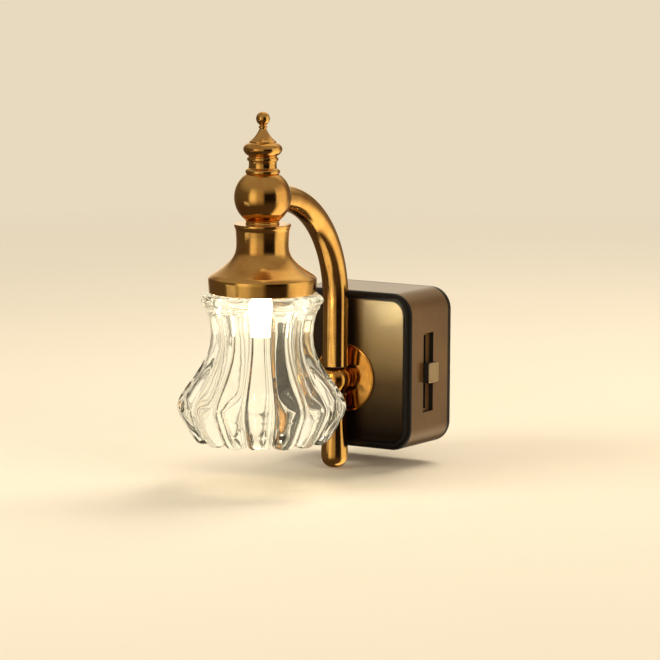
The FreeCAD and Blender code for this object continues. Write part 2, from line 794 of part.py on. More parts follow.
def make_ball_boss(nipple_end):
    """Ball with flats above and below, a vertical bore for the swivel and a neck to the rosette."""
    body = new_body("BallBoss", 0, -arm_depth, boss_z)
    profile = add_path(sketch_on(body, "XZ_Plane"), [
        (0, -boss_flat), (s.boss_flat_radius, -boss_flat), (s.boss_flat_radius, boss_flat), (0, boss_flat)],
        {1: (s.boss_radius, 1)})
    revolve(body, profile)
    gap = arm_depth - rosette_face
    neck = add_circle(sketch_on(body, "XZ_Plane", -gap), s.boss_neck_radius)
    pad(body, neck, gap)
    bore = s.swivel_radius + s.swivel_clearance
    shaft = add_circle(sketch_on(body, "XY_Plane", -s.boss_radius), bore)
    pocket(body, shaft, 2 * s.boss_radius)
    behind = gap + s.boss_radius
    seat = add_circle(sketch_on(body, "XZ_Plane", -behind), s.nipple_radius)
    pocket(body, seat, nipple_end - (arm_depth - behind))
    way = add_circle(sketch_on(body, "XZ_Plane", -behind), s.nipple_bore_radius)
    pocket(body, way, behind)
    return node(body, "ball_boss")


def make_swivel():
    """Hollow spindle through the boss, with a window for the lead, and a washer on each flat."""
    reach = boss_flat + s.swivel_washer_thickness + s.swivel_washer_gap + s.swivel_grip
    tube = ring("Spindle_tube", s.swivel_radius, s.swivel_bore_radius, 2 * reach,
                0, -arm_depth, boss_z - reach)
    window = block("Spindle_window", (2 * s.tube_radius, s.tube_radius, s.swivel_window_height),
                   (0, -arm_depth + s.tube_radius / 2, boss_z))
    node(cut("SwivelSpindle", tube, window), "swivel_spindle")
    washers = []
    for number, start in enumerate((boss_flat + s.swivel_washer_gap,
                                    -(boss_flat + s.swivel_washer_gap + s.swivel_washer_thickness))):
        washers.append(ring(f"SwivelWasher{number}", s.tube_radius - s.washer_inset, s.swivel_radius,
                            s.swivel_washer_thickness, 0, -arm_depth, boss_z + start))
    node(group("SwivelWashers", washers), "swivel_washers")
    return boss_flat + s.swivel_washer_gap + s.swivel_washer_thickness


def add_spine(sketch, start, stop_short=None, drop_to=None):
    """Centre line of the arm: up the bar, round the bend and along the last run. The lead's line then
    turns down the lamp's axis."""
    fall = cosine(s.bend_angle)
    out = sine(s.bend_angle)
    bend_end = (-bend_out, bar_top + s.bend_radius * out)
    points = [(0, start), (0, bar_top), bend_end]
    arcs = {1: (s.bend_radius, 1)}
    if stop_short is not None:
        points.append((-(s.lamp_reach - stop_short * out), s.ball_height - stop_short * fall))
    else:
        corner = s.lead_bend_radius * tangent(90 - s.bend_angle / 2)
        points.append((-(s.lamp_reach - corner * out), s.ball_height - corner * fall))
        points.append((-s.lamp_reach, s.ball_height - corner))
        points.append((-s.lamp_reach, drop_to))
        arcs[3] = (s.lead_bend_radius, 1)
    return add_path(sketch, points, arcs, closed=False)


def make_pipe(name, start, radii, label, **ends):
    """A round section, solid or hollow, carried along the arm's centre line."""
    body = new_body(name, 0, -arm_depth, 0)
    section = sketch_on(body, "XY_Plane", start)
    for radius in radii:
        add_circle(section, radius)
    spine = add_spine(sketch_on(body, "YZ_Plane"), start, **ends)
    DOC.recompute()
    pipe = body.newObject("PartDesign::AdditivePipe", name + "_pipe")
    pipe.Profile = section
    pipe.Spine = (spine, [])
    grown(body, pipe)
    length = sum(edge.Length for edge in spine.Shape.Edges)
    area = math.pi * (radii[0].value ** 2 - sum(radius.value ** 2 for radius in radii[1:]))
    print(f"{label}: length {length:.1f}, volume {body.Shape.Volume:.1f}, section by length {area * length:.1f}")
    return node(body, label)


def make_tail(top):
    """Drop below the boss: slim at its waist, full and round at its end, bored for the spindle."""
    body = new_body("TailDrop", 0, -arm_depth, boss_z - top)
    low = -s.tail_length
    full = low + s.tail_bulb_height
    waist = -s.tail_waist_drop
    profile = add_path(sketch_on(body, "XZ_Plane"), [
        (0, low), (s.tail_tip_radius, low + s.tail_tip_height), (s.tail_bulb_radius, full),
        (s.tail_waist_radius, waist), (s.tail_top_radius, 0), (s.swivel_radius, 0),
        (s.swivel_radius, -s.swivel_grip), (0, -s.swivel_grip)],
        {0: (s.tail_bulb_radius, 1), 1: (s.tail_bulb_height, 1), 2: (s.tail_curve, -1)})
    revolve(body, profile)
    return node(body, "tail_drop")


def make_leads():
    """The two-core lead: from the board to the spindle, and from the spindle to the light engine."""
    length = arm_depth - board_front - s.lead_radius - s.lead_clearance
    node(cylinder("BoardLead", s.lead_radius, length, 0, -board_front, boss_z, TO_ROOM), "board_lead")
    make_pipe("ArmLead", boss_z - s.lead_radius, (s.lead_radius,), "arm_lead", drop_to=spreader_top)


def make_lamp_ball():
    """Hollow turned ball, flat above and below, with a side socket for the arm tube."""
    body = new_body("LampBall", 0, lamp_y, s.ball_height)
    cavity = s.ball_cavity_radius
    lower = half_chord(cavity, s.cap_nipple_radius)
    upper = half_chord(cavity, s.stud_radius)
    profile = add_path(sketch_on(body, "XZ_Plane"), [
        (s.cap_nipple_radius, -ball_flat), (s.ball_flat_radius, -ball_flat), (s.ball_radius, 0),
        (s.ball_flat_radius, ball_flat), (s.stud_radius, ball_flat), (s.stud_radius, upper),
        (cavity, 0), (s.cap_nipple_radius, -lower)],
        {1: (s.ball_radius, 1), 2: (s.ball_radius, 1), 5: (cavity, -1), 6: (cavity, -1)})
    revolve(body, profile)
    socket = add_circle(sketch_on(body, "XZ_Plane", 0, s.bend_angle - 90), s.tube_radius)
    pocket(body, socket, s.ball_radius, backwards=True)
    return node(body, "lamp_ball")


def make_neck_ring():
    item = ring("NeckRing", s.neck_ring_radius, s.cap_nipple_radius, s.neck_ring_height, 0, lamp_y, cap_top)
    return node(item, "neck_ring")


def make_finial():
    """Turned finial with its threaded stud: foot, neck, ring, bulb, cone, collar and tip ball."""
    body = new_body("Finial", 0, lamp_y, s.ball_height + ball_flat)
    foot, bevel = s.finial_foot_height, s.finial_bevel
    neck = foot + s.finial_neck_height
    bead = neck + s.finial_ring_height
    bulb = bead + s.finial_bulb_height
    cone = bulb + s.finial_cone_height
    collar = cone + s.finial_collar_height
    tip_low = collar + s.finial_ball_radius - half_chord(s.finial_ball_radius, s.finial_tip_neck_radius)
    tip_mid = tip_low + half_chord(s.finial_ball_radius, s.finial_tip_neck_radius)
    profile = add_path(sketch_on(body, "XZ_Plane"), [
        (0, -s.stud_length), (s.stud_radius, -s.stud_length), (s.stud_radius, 0),
        (s.finial_foot_radius - bevel, 0), (s.finial_foot_radius, foot * 0.45),
        (s.finial_neck_radius, foot), (s.finial_neck_radius, neck - bevel),
        (s.finial_ring_radius, neck + bevel), (s.finial_ring_radius, bead - 2 * bevel),
        (s.finial_neck_radius, bead), (s.finial_bulb_radius, bead + s.finial_bulb_height * 0.55),
        (s.finial_cone_radius, bulb), (s.finial_cone_radius, bulb + 3 * bevel),
        (s.finial_tip_neck_radius, cone), (s.finial_collar_radius, cone + bevel),
        (s.finial_collar_radius, collar - bevel), (s.finial_tip_neck_radius, tip_low),
        (s.finial_ball_radius, tip_mid), (0, tip_mid + s.finial_ball_radius)],
        {3: (2.0, 1), 4: (2.2, -1), 9: (3.6, 1), 10: (3.4, 1), 12: (7.0, -1),
         16: (s.finial_ball_radius, 1), 17: (s.finial_ball_radius, 1)})
    revolve(body, profile)
    return node(body, "finial")


def make_bell_cap():
    """Thin turned bell: lip, waist, flare and band, closed above round its nipple."""
    body = new_body("BellCap", 0, lamp_y, cap_top)
    wall = s.cap_wall
    waist, throat = -s.cap_waist_drop, -s.cap_throat_drop
    flare = -s.cap_flare_drop
    low = flare - s.cap_band_height
    edge = s.cap_flare_radius
    throat_in = s.cap_throat_radius - wall
    shoulder = (edge - s.cap_edge_rounding, flare + s.cap_edge_rounding)
    inner_edge = (edge - wall - s.cap_edge_rounding, flare + s.cap_edge_rounding - wall / 2)
    profile = add_path(sketch_on(body, "XZ_Plane"), [
        (s.cap_nipple_radius, 0), (s.cap_lip_radius, 0), (s.cap_lip_radius, -s.cap_lip_height),
        (s.cap_waist_radius, waist), (s.cap_throat_radius, throat), shoulder, (edge, flare), (edge, low),
        (edge - wall, low), (edge - wall, flare - wall / 2), inner_edge, (throat_in, throat - wall / 2),
        (s.cap_waist_radius - wall, waist), (s.cap_waist_radius - wall, -2 * wall),
        (s.cap_nipple_radius, -2 * wall)],
        {2: (s.cap_waist_curve, 1), 3: (s.cap_throat_curve, 1), 4: (s.cap_flare_curve, 1),
         10: (s.cap_flare_curve, -1), 11: (s.cap_throat_curve, -1)})
    revolve(body, profile)
    return node(body, "bell_cap")


def make_cap_fastening():
    """Hollow nipple that clamps the ball, ring and cap together, and its nut inside the cap."""
    start = s.ball_height - half_chord(s.ball_cavity_radius, s.cap_nipple_radius) - s.cap_nipple_length
    node(ring("CapNipple", s.cap_nipple_radius, s.cap_nipple_bore_radius, s.cap_nipple_length,
              0, lamp_y, start), "cap_nipple")
    node(hexagon_nut("CapNut", s.cap_nut_radius, s.cap_nipple_radius, s.cap_nut_thickness,
                     0, lamp_y, cap_top - 2 * s.cap_wall - s.cap_nut_thickness), "cap_nut")


def make_light_engine():
    """White plate with the rod's hub, the lamp board with its chip, a heat spreader and two screws."""
    hub_low = collar_top - s.hub_height
    hole = s.rod_radius + s.rod_clearance
    plate = new_body("LightPlate", 0, lamp_y, 0)
    profile = add_path(sketch_on(plate, "XZ_Plane"), [
        (hole, hub_low), (s.hub_radius, hub_low), (s.hub_radius, collar_top), (s.plate_radius, collar_top),
        (s.plate_radius, plate_top), (hole, plate_top)])
    revolve(plate, profile)
    spots = sketch_on(plate, "XY_Plane", collar_top)
    for x in (1, -1):
        add_circle(spots, s.small_screw_radius, s.small_screw_offset * x, 0)
    pocket(plate, spots, s.plate_thickness)
    node(plate, "light_plate")
    board = new_body("LedBoard", 0, lamp_y, 0)
    outline = add_circle(sketch_on(board, "XY_Plane", plate_top), s.led_board_radius)
    for x in (1, -1):
        add_circle(outline, s.small_screw_radius, s.small_screw_offset * x, 0)
    pad(board, outline, s.led_board_thickness)
    node(board, "led_board")
    node(block("LedChip", (s.led_side, s.led_side, s.led_thickness),
               (0, lamp_y, plate_top - s.led_thickness / 2)), "led_chip")
    spreader = new_body("HeatSpreader", 0, lamp_y, 0)
    outline = add_circle(sketch_on(spreader, "XY_Plane", led_board_top), s.spreader_radius)
    for x in (1, -1):
        add_circle(outline, s.small_screw_radius, s.small_screw_offset * x, 0)
    pad(spreader, outline, s.spreader_thickness)
    node(spreader, "heat_spreader")
    rod = new_body("LightRod", 0, lamp_y, plate_top - s.led_thickness - s.rod_length)
    outline = add_circle(sketch_on(rod, "XY_Plane"), s.rod_radius)
    base = pad(rod, outline, s.rod_length)
    dress(rod, "PartDesign::Chamfer", base, at_level("Z", 0.0), s.rod_chamfer)
    node(rod, "light_rod")
    shank = s.plate_thickness + s.led_board_thickness + s.spreader_thickness
    screws = []
    for number, x in enumerate((1, -1)):
        at = (s.small_screw_offset * x, lamp_y)
        head = cylinder(f"LampScrew{number}_head", 2 * s.small_screw_radius, s.small_screw_radius,
                        *at, spreader_top)
        stem = cylinder(f"LampScrew{number}_stem", s.small_screw_radius, shank, *at, spreader_top - shank)
        screws.append(fused(f"LampScrew{number}", [head, stem]))
    node(group("LampScrews", screws), "lamp_screws")


def fluted_wire(radius, depth, level):
    """A ring of equal round lobes that meet in sharp valleys, at one height."""
    step = math.pi / s.flute_count.value

    def spot(distance, angle):
        return FreeCAD.Vector(distance * math.cos(angle), distance * math.sin(angle), level)

    edges = []
    for number in range(int(s.flute_count.value)):
        middle = 2 * step * number
        edges.append(Part.Arc(spot(radius - depth, middle - step), spot(radius, middle),
                              spot(radius - depth, middle + step)).toShape())
    return Part.Wire(edges)


def shade_radius(drop):
    """Outside of the shade at a depth below its top: bead, neck, swelling belly, then in to the mouth."""
    bead, neck, belly, end = (item.value for item in (
        s.bead_height, s.shade_neck_drop, s.shade_belly_drop, s.shade_height))
    rim = s.bead_radius.value - s.bead_rise.value
    if drop <= bead:
        return rim + s.bead_rise.value * math.sin(math.pi * drop / bead)
    if drop <= neck:
        share = (neck - drop) / (neck - bead)
        return s.shade_neck_radius.value + (rim - s.shade_neck_radius.value) * share ** 1.8
    swell = s.shade_belly_radius.value - s.shade_neck_radius.value
    if drop <= belly:
        share = ((drop - neck) / (belly - neck)) ** 1.35
        return s.shade_neck_radius.value + swell * share * share * (3 - 2 * share)
    share = (drop - belly) / (end - belly)
    return s.shade_belly_radius.value - (s.shade_belly_radius.value - s.shade_mouth_radius.value) * share ** 1.15


def make_shade():
    """Clear shade: a plain collar inside the cap, a bead, and columns that swell to a belly."""
    top = cap_bottom.value - s.shade_gap.value
    height = s.shade_height.value
    shade_steps = 22
    drops = [height * number / shade_steps for number in range(shade_steps + 1)]
    outside = []
    for drop in drops:
        radius = shade_radius(drop)
        outside.append(fluted_wire(radius, s.flute_depth.value * radius / s.shade_belly_radius.value, top - drop))
    solid = Part.makeLoft(outside, True, False)
    start = s.bead_height.value
    inner = [FreeCAD.Vector(shade_radius(drop) - s.shade_wall.value - s.flute_depth.value, 0, top - drop)
             for drop in drops if drop > start]
    below = FreeCAD.Vector(inner[-1].x, 0, top - height - 1)
    curve = Part.BSplineCurve()
    curve.interpolate(inner)
    mouth = FreeCAD.Vector(0, 0, below.z)
    roof = FreeCAD.Vector(0, 0, collar_top.value)
    neck_in = FreeCAD.Vector(inner[0].x, 0, collar_top.value)
    wire = Part.Wire([
        curve.toShape(), Part.makeLine(inner[-1], below), Part.makeLine(below, mouth),
        Part.makeLine(mouth, roof), Part.makeLine(roof, neck_in), Part.makeLine(neck_in, inner[0])])
    hollow = Part.Face(wire).revolve(FreeCAD.Vector(), FreeCAD.Vector(0, 0, 1), 360)
    collar = Part.makeCylinder(s.collar_radius.value, s.collar_height.value + 0.5,
                               FreeCAD.Vector(0, 0, top - 0.5))
    shape = solid.fuse(collar).cut(hollow)
    item = DOC.addObject("Part::Feature", "Shade")
    item.Shape = shape.Solids[0] if len(shape.Solids) == 1 else shape
    item.Placement = FreeCAD.Placement(FreeCAD.Vector(0, lamp_y.value, 0),
                                       FreeCAD.Rotation(FreeCAD.Vector(0, 0, 1), s.flute_turn.value))
    node(item, "fluted_shade")
    gasket = ring("ShadeGasket", s.cap_flare_radius - s.cap_wall, s.collar_radius, s.gasket_height,
                  0, lamp_y, cap_bottom + s.shade_gap)
    node(gasket, "shade_gasket")


make_housing_shell()
make_front_panel()
make_rear_cover()
make_cover_screws()
make_plug_blade("PlugBladeLeft", -1)
make_plug_blade("PlugBladeRight", 1)
make_blade_holder()
make_driver_board()
make_board_screws()
make_board_parts()
make_dimmer()
make_rosette()
nipple_far = make_nipple()
make_ball_boss(nipple_far)
washer_level = make_swivel()
make_pipe("ArmTube", boss_z + washer_level, (s.tube_radius, s.swivel_radius), "arm_tube",
          stop_short=s.ball_cavity_radius + 0.5)
make_tail(washer_level)
make_leads()
make_lamp_ball()
make_neck_ring()
make_finial()
make_bell_cap()
make_cap_fastening()
make_light_engine()
make_shade()

DOC.recompute()
faults = [f"{item.Name}: {item.State}" for item in DOC.Objects
          if "Invalid" in item.State or "Error" in item.State]
for item in NODES:
    if item.Shape.isNull() or not item.Shape.isValid() or not item.Shape.Solids:
        faults.append(f"{item.Label}: shape is empty or not valid")
if faults:
    raise RuntimeError("; ".join(faults))

os.makedirs("parts", exist_ok=True)
for item in NODES:
    item.Shape.exportStep(os.path.join("parts", item.Label + ".step"))
    box = item.Shape.BoundBox
    print(f"{item.Label}: {len(item.Shape.Solids)} solids, {item.Shape.Volume:.1f} mm3, "
          f"X {box.XMin:.2f} to {box.XMax:.2f}, Y {box.YMin:.2f} to {box.YMax:.2f}, "
          f"Z {box.ZMin:.2f} to {box.ZMax:.2f}")
print(f"{len(NODES)} sub-parts written")
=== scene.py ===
# %% [markdown]
# # A plug-in night light, dressed
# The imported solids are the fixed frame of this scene. They swing, slide and collide, and they stay where
# they are. What the eye sees is built around them: the turned and bent metal, the lacquered housing and
# the clear fluted shade are modelled again with finer curves, and every other piece keeps its solid and
# gets a finish. All sizes below are in millimetres, in the frame of the solids: X to the right as one
# looks at the front panel, Y from the shade back to the plug's blades, Z up.

# %% Load the frame
import json
import math

import bmesh
import bpy
from mathutils import Matrix, Vector


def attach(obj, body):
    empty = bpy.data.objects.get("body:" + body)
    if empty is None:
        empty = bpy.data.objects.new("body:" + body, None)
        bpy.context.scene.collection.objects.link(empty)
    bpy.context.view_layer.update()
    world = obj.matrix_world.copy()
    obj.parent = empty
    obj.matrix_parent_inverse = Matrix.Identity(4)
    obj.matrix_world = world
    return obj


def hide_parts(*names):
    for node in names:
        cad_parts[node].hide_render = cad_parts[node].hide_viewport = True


MM = 0.001
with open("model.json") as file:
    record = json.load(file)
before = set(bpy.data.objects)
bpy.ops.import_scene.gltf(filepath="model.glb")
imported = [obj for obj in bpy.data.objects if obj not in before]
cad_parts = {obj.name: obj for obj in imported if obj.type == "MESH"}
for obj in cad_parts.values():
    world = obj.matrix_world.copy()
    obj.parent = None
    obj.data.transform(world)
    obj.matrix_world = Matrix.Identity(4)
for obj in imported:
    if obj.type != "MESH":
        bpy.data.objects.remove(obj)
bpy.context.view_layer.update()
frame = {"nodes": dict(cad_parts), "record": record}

# %% [markdown]
# ## The camera
# A product picture of a small lamp is taken from a step away with a long lens, which keeps upright lines
# nearly parallel. The camera is put at a measured place and turned towards a measured point. A small
# roll about its own line of sight tilts the picture by the third of a degree that the real one has.

# %% Camera
CAMERA_PLACE = Vector((764.19, -1268.0, 205.89)) * MM
CAMERA_TARGET = Vector((-25.55, 0.0, 8.74)) * MM
CAMERA_ROLL = math.radians(0.37)


def linked(name, data):
    """An object in the scene that shows a mesh, a lamp or a camera."""
    thing = bpy.data.objects.new(name, data)
    bpy.context.scene.collection.objects.link(thing)
    return thing


lens = bpy.data.cameras.new("camera")
lens.sensor_width = 36.0
lens.lens = 221.3
lens.clip_start, lens.clip_end = 0.05, 60.0
camera = linked("camera", lens)
line_of_sight = (CAMERA_TARGET - CAMERA_PLACE).to_track_quat("-Z", "Y").to_matrix().to_4x4()
camera.matrix_world = Matrix.Translation(CAMERA_PLACE) @ line_of_sight @ Matrix.Rotation(CAMERA_ROLL, 4, "Z")
bpy.context.scene.camera = camera
print("camera", round((CAMERA_PLACE - CAMERA_TARGET).length / MM), "mm from its target")

# %% [markdown]
# ## How finishes are written
# A finish is a node material. Shader sums read best as plain expressions, so a small class wraps a
# socket and gives it the usual signs. Every other node comes from one method that takes the node's type,
# its settings and what goes into its sockets. Patterns read Object coordinates: each finished piece sits
# at the origin, so the pattern is fixed to the metal and goes with it when the lamp swings.

# %% Sockets that can stand in sums
class Wire:
    """A socket in a tree of nodes, with the signs that shader sums need."""

    def __init__(self, owner, socket):
        self.owner, self.socket = owner, socket

    def worked(self, operation, first, second):
        return self.owner.node("ShaderNodeMath", {"operation": operation}, {0: first, 1: second})

    def __add__(self, other):
        return self.worked("ADD", self, other)

    __radd__ = __add__

    def __mul__(self, other):
        return self.worked("MULTIPLY", self, other)

    __rmul__ = __mul__

    def __sub__(self, other):
        return self.worked("SUBTRACT", self, other)

    def __rsub__(self, other):
        return self.worked("SUBTRACT", other, self)


print("a wire stands in sums with:", "+ - *")

# %% [markdown]
# The one method that adds nodes sets a node's settings first, because some of them change its sockets.
# The short methods after it only save words: they are the coordinates, noise, ramps and bumps that nearly
# every finish uses. A finish is a tree with a shader, whose constants are set on the shader itself.

# %% Trees and finishes
class Tree:
    """A tree of nodes and the method that adds to it."""

    def __init__(self, tree):
        self.tree = tree

    def node(self, kind, settings=None, inputs=None, output=0):
        made = self.tree.nodes.new(kind)
        for key, value in (settings or {}).items():
            if key == "stops":
                while len(made.color_ramp.elements) < len(value):
                    made.color_ramp.elements.new(0.5)
                for element, (place, colour) in zip(made.color_ramp.elements, value):
                    element.position, element.color = place, (*colour, 1.0)
            elif key == "interpolation":
                made.color_ramp.interpolation = value
            else:
                setattr(made, key, value)
        for key, value in (inputs or {}).items():
            if isinstance(value, Wire):
                self.tree.links.new(value.socket, made.inputs[key])
            else:
                made.inputs[key].default_value = value
        return Wire(self, made.outputs[output])

    def place(self, stretch=(1.0, 1.0, 1.0)):
        """Object coordinates in millimetres, stretched along the axes."""
        where = self.node("ShaderNodeTexCoord", output="Object")
        return self.node("ShaderNodeMapping", {}, {
            "Vector": where, "Scale": tuple(share / MM for share in stretch)})

    def part(self, vector, axis):
        return self.node("ShaderNodeSeparateXYZ", {}, {0: vector}, output=axis)

    def between(self, axis, low, high):
        """How far a point lies on the way from one level to another along an axis, as a share of it."""
        return (self.part(self.place(), axis) - low) * (1.0 / (high - low))

    def noise(self, where, scale, detail=3.0, roughness=0.5):
        return self.node("ShaderNodeTexNoise", {}, {
            "Vector": where, "Scale": scale, "Detail": detail, "Roughness": roughness})

    def ramp(self, factor, *stops, interpolation="LINEAR"):
        return self.node("ShaderNodeValToRGB", {"interpolation": interpolation, "stops": stops},
                         {"Fac": factor})

    def mixed(self, share, first, second):
        """A blend of two colours: those sockets of the Mix node are its inputs 6 and 7 and its output 2."""
        return self.node("ShaderNodeMix", {"data_type": "RGBA"}, {0: share, 6: first, 7: second}, 2)

    def bump(self, height, strength, distance):
        return self.node("ShaderNodeBump", {}, {
            "Height": height, "Strength": strength, "Distance": distance * MM})

    def show(self, shader, output):
        """Makes a shader the surface of what the tree belongs to."""
        self.tree.links.new(shader.socket, self.tree.nodes[output].inputs["Surface"])


class Finish(Tree):
    """A material with one shader: constants are set on it once, and what varies is fed to it."""

    def __init__(self, name, **constants):
        self.material = bpy.data.materials.new(name)
        self.material.use_nodes = True
        super().__init__(self.material.node_tree)
        self.shader = self.tree.nodes["Principled BSDF"]
        for socket, value in constants.items():
            self.shader.inputs[socket.replace("_", " ")].default_value = value

    def feed(self, **sockets):
        for socket, wire in sockets.items():
            self.tree.links.new(wire.socket, self.shader.inputs[socket.replace("_", " ")])
        return self.material


print("a finish has", len([name for name in dir(Finish) if not name.startswith("_")]), "methods")

# %% [markdown]
# ## Aged gold
# The arm and all the turned pieces are brass under a warm satin gold plating. Up close such plating is
# not one colour: it browns a little in broad clouds, fine turning lines run round it, and its gloss
# changes from spot to spot. Broad noise mixes two golds, and noise that is squeezed along the height
# gives the turning lines, because on a turned piece each height is one cut of the tool. On the drawn
# tube the lines run along it, and on the rosette and boss they are rings about Y.

# %% Gold finishes
def gold(name, stretch, light=(0.88, 0.51, 0.15), deep=(0.68, 0.33, 0.09)):
    """Satin gold: light and deep plating in clouds, with tool lines as the stretch of their noise says."""
    finish = Finish(name, Metallic=1.0)
    clouds = finish.noise(finish.place(), 0.11, 3.0, 0.55)
    lines = finish.noise(finish.place(stretch), 1.0, 2.0, 0.6)
    plating = finish.ramp(clouds + 0.25 * lines, (0.42, deep), (0.78, light))
    return finish.feed(Base_Color=plating, Roughness=0.07 + 0.09 * clouds + 0.04 * lines,
                       Normal=finish.bump(lines, 0.10, 0.03))


turned_gold = gold("turned_gold", (0.10, 0.10, 7.0))
drawn_gold = gold("drawn_gold", (5.0, 5.0, 0.12))
faced_gold = gold("faced_gold", (0.4, 6.0, 0.4), light=(0.82, 0.42, 0.10), deep=(0.58, 0.26, 0.05))
print("gold:", turned_gold.name, drawn_gold.name, faced_gold.name)

# %% [markdown]
# ## Lacquer, plastics and plain metals
# The plastics differ only in colour, gloss and grain, so one function makes them all. The plain metals
# share another: a colour that wanders slightly and a brushed or rolled grain.

# %% Makers of plastics and metals
def moulded(name, colour, gloss=0.45, grain=0.9, depth=0.02, vary=0.12, **constants):
    """Moulded plastic or rubber: grain is the size of its texture and depth how deep that is, in mm."""
    finish = Finish(name, **constants)
    where = finish.place()
    tone = finish.noise(where, 0.22, 2.0)
    fine = finish.noise(where, 1.0 / grain, 2.0, 0.6)
    dark = tuple(c * (1 - vary) for c in colour)
    pale = tuple(min(1.0, c * (1 + vary)) for c in colour)
    shade = finish.ramp(0.6 * tone + 0.4 * fine, (0.35, dark), (0.65, pale))
    return finish.feed(Base_Color=shade, Roughness=(gloss - 0.05) + 0.10 * fine,
                       Normal=finish.bump(fine, 0.25, depth))


def plain_metal(name, colour, gloss=0.3, stretch=(0.3, 0.3, 4.0)):
    """Rolled, drawn or milled metal, its grain drawn out as the stretch of its noise says."""
    finish = Finish(name, Metallic=1.0)
    streaks = finish.noise(finish.place(stretch), 1.0, 3.0, 0.6)
    clouds = finish.noise(finish.place(), 0.2, 2.0)
    dark = tuple(0.85 * c for c in colour)
    shade = finish.ramp(0.5 * streaks + 0.5 * clouds, (0.35, dark), (0.68, colour))
    return finish.feed(Base_Color=shade, Roughness=(gloss - 0.06) + 0.14 * streaks,
                       Normal=finish.bump(streaks, 0.2, 0.02))


print("makers:", moulded.__name__, plain_metal.__name__)

# %% [markdown]
# The housing is moulded and sprayed with a bronze lacquer: a fine metallic speckle under a clear coat.
# Its front panel is a dark mirror, and a reflection is also painted into its colour: pale at the top
# right corner and near black at the foot and to the left. So two ramps are multiplied: one across the
# panel, and one up it.

# %% Housing finishes
def bronze_lacquer():
    finish = Finish("bronze_lacquer", Metallic=0.55, Coat_Roughness=0.12, Coat_Weight=0.35)
    where = finish.place()
    speckle = finish.noise(where, 4.5, 2.0, 0.7)
    tone = finish.noise(where, 0.05, 2.0)
    bronze = finish.ramp(0.55 * speckle + 0.45 * tone, (0.36, (0.120, 0.056, 0.017)),
                         (0.64, (0.205, 0.104, 0.034)))
    return finish.feed(Base_Color=bronze, Roughness=0.27 + 0.12 * speckle,
                       Normal=finish.bump(speckle, 0.08, 0.01))


def mirror_with_painted_reflection():
    """Dark mirror with a reflection painted into its colour: pale at its top right corner, near black below
    and to the left.
    """
    finish = Finish("mirror_with_painted_reflection", Metallic=0.9)
    smear = finish.noise(finish.place((0.3, 0.3, 1.0)), 0.16, 3.0)
    # Painted reflection: the colour darkens towards the left of the panel and grows paler up it, with a
    # little random smear.
    painted_dark_left = finish.ramp(finish.between("X", -2.0, 14.0), (0.30, (0.18, 0.18, 0.18)), (0.62, (1.0, 1.0, 1.0)))
    clear = (finish.between("Z", -24.0, 24.0) + 0.06 * smear) * painted_dark_left
    painted_reflection = finish.ramp(clear, (0.05, (0.020, 0.013, 0.009)), (0.42, (0.13, 0.085, 0.040)),
                        (0.75, (0.40, 0.29, 0.15)), (1.0, (0.52, 0.44, 0.29)))
    return finish.feed(Base_Color=painted_reflection, Roughness=0.36 + 0.08 * smear)


housing_bronze = bronze_lacquer()
housing_black = moulded("housing_black", (0.008, 0.006, 0.005), 0.30, 0.5, 0.01, Specular_IOR_Level=0.22)
panel_mirror = mirror_with_painted_reflection()
# Flat black used as painted shade: the sides of the slider's recess, the floor of its slit and the knob's
# sides.
painted_shade_black = moulded("painted_shade_black", (0.012, 0.010, 0.009), 0.5)
knob_brown = moulded("knob_brown", (0.34, 0.235, 0.12), 0.34, 0.5, 0.01, Metallic=0.35)
print("housing finishes:", housing_bronze.name, panel_mirror.name)

# %% [markdown]
# ## Clear crystal and the light rod
# Crystal is clear all through, so its look is refraction: bright where it bends a view of something
# pale and dark where it bends a view of metal. A faint warm tint is enough colour. The rod inside is
# frosted and lit from its top by a small lamp chip, so it glows most near the top and again at its cut
# end, where the light leaves it. A faint glow is also painted into the crystal itself, strongest in the
# neck: painted light in place of the rod's light held in the glass.

# %% Crystal and glow
def crystal():
    # Painted glow: the crystal gives off a faint light of its own, following its height and strongest near
    # the neck.
    finish = Finish("crystal", Transmission_Weight=1.0, IOR=1.48, Emission_Strength=0.11)
    ripple = finish.noise(finish.place(), 0.09, 2.0)
    glow = finish.ramp(finish.between("Z", -20.0, 37.0) + 0.05 * ripple,
                       (0.10, (0.10, 0.085, 0.05)), (0.45, (0.05, 0.042, 0.025)), (0.68, (0.16, 0.14, 0.09)),
                       (0.84, (0.62, 0.56, 0.40)), (0.97, (0.50, 0.42, 0.24)))
    tint = finish.ramp(ripple, (0.35, (0.985, 0.965, 0.915)), (0.7, (1.0, 0.995, 0.98)))
    return finish.feed(Base_Color=tint, Roughness=0.012 + 0.02 * ripple, Emission_Color=glow,
                       Normal=finish.bump(ripple, 0.12, 0.25))


def glowing(name, low, high, strength, colours):
    """A frosted piece whose glow follows its height between two levels."""
    finish = Finish(name, Emission_Strength=strength, Transmission_Weight=0.3, IOR=1.45)
    frost = finish.noise(finish.place(), 1.6, 3.0, 0.6)
    stops = [(number / (len(colours) - 1), colour) for number, colour in enumerate(colours)]
    return finish.feed(Emission_Color=finish.ramp(finish.between("Z", low, high) + 0.04 * frost, *stops),
                       Base_Color=finish.ramp(frost, (0.3, (0.93, 0.91, 0.86)), (0.7, (1.0, 0.99, 0.96))),
                       Roughness=0.35 + 0.3 * frost, Normal=finish.bump(frost, 0.3, 0.03))


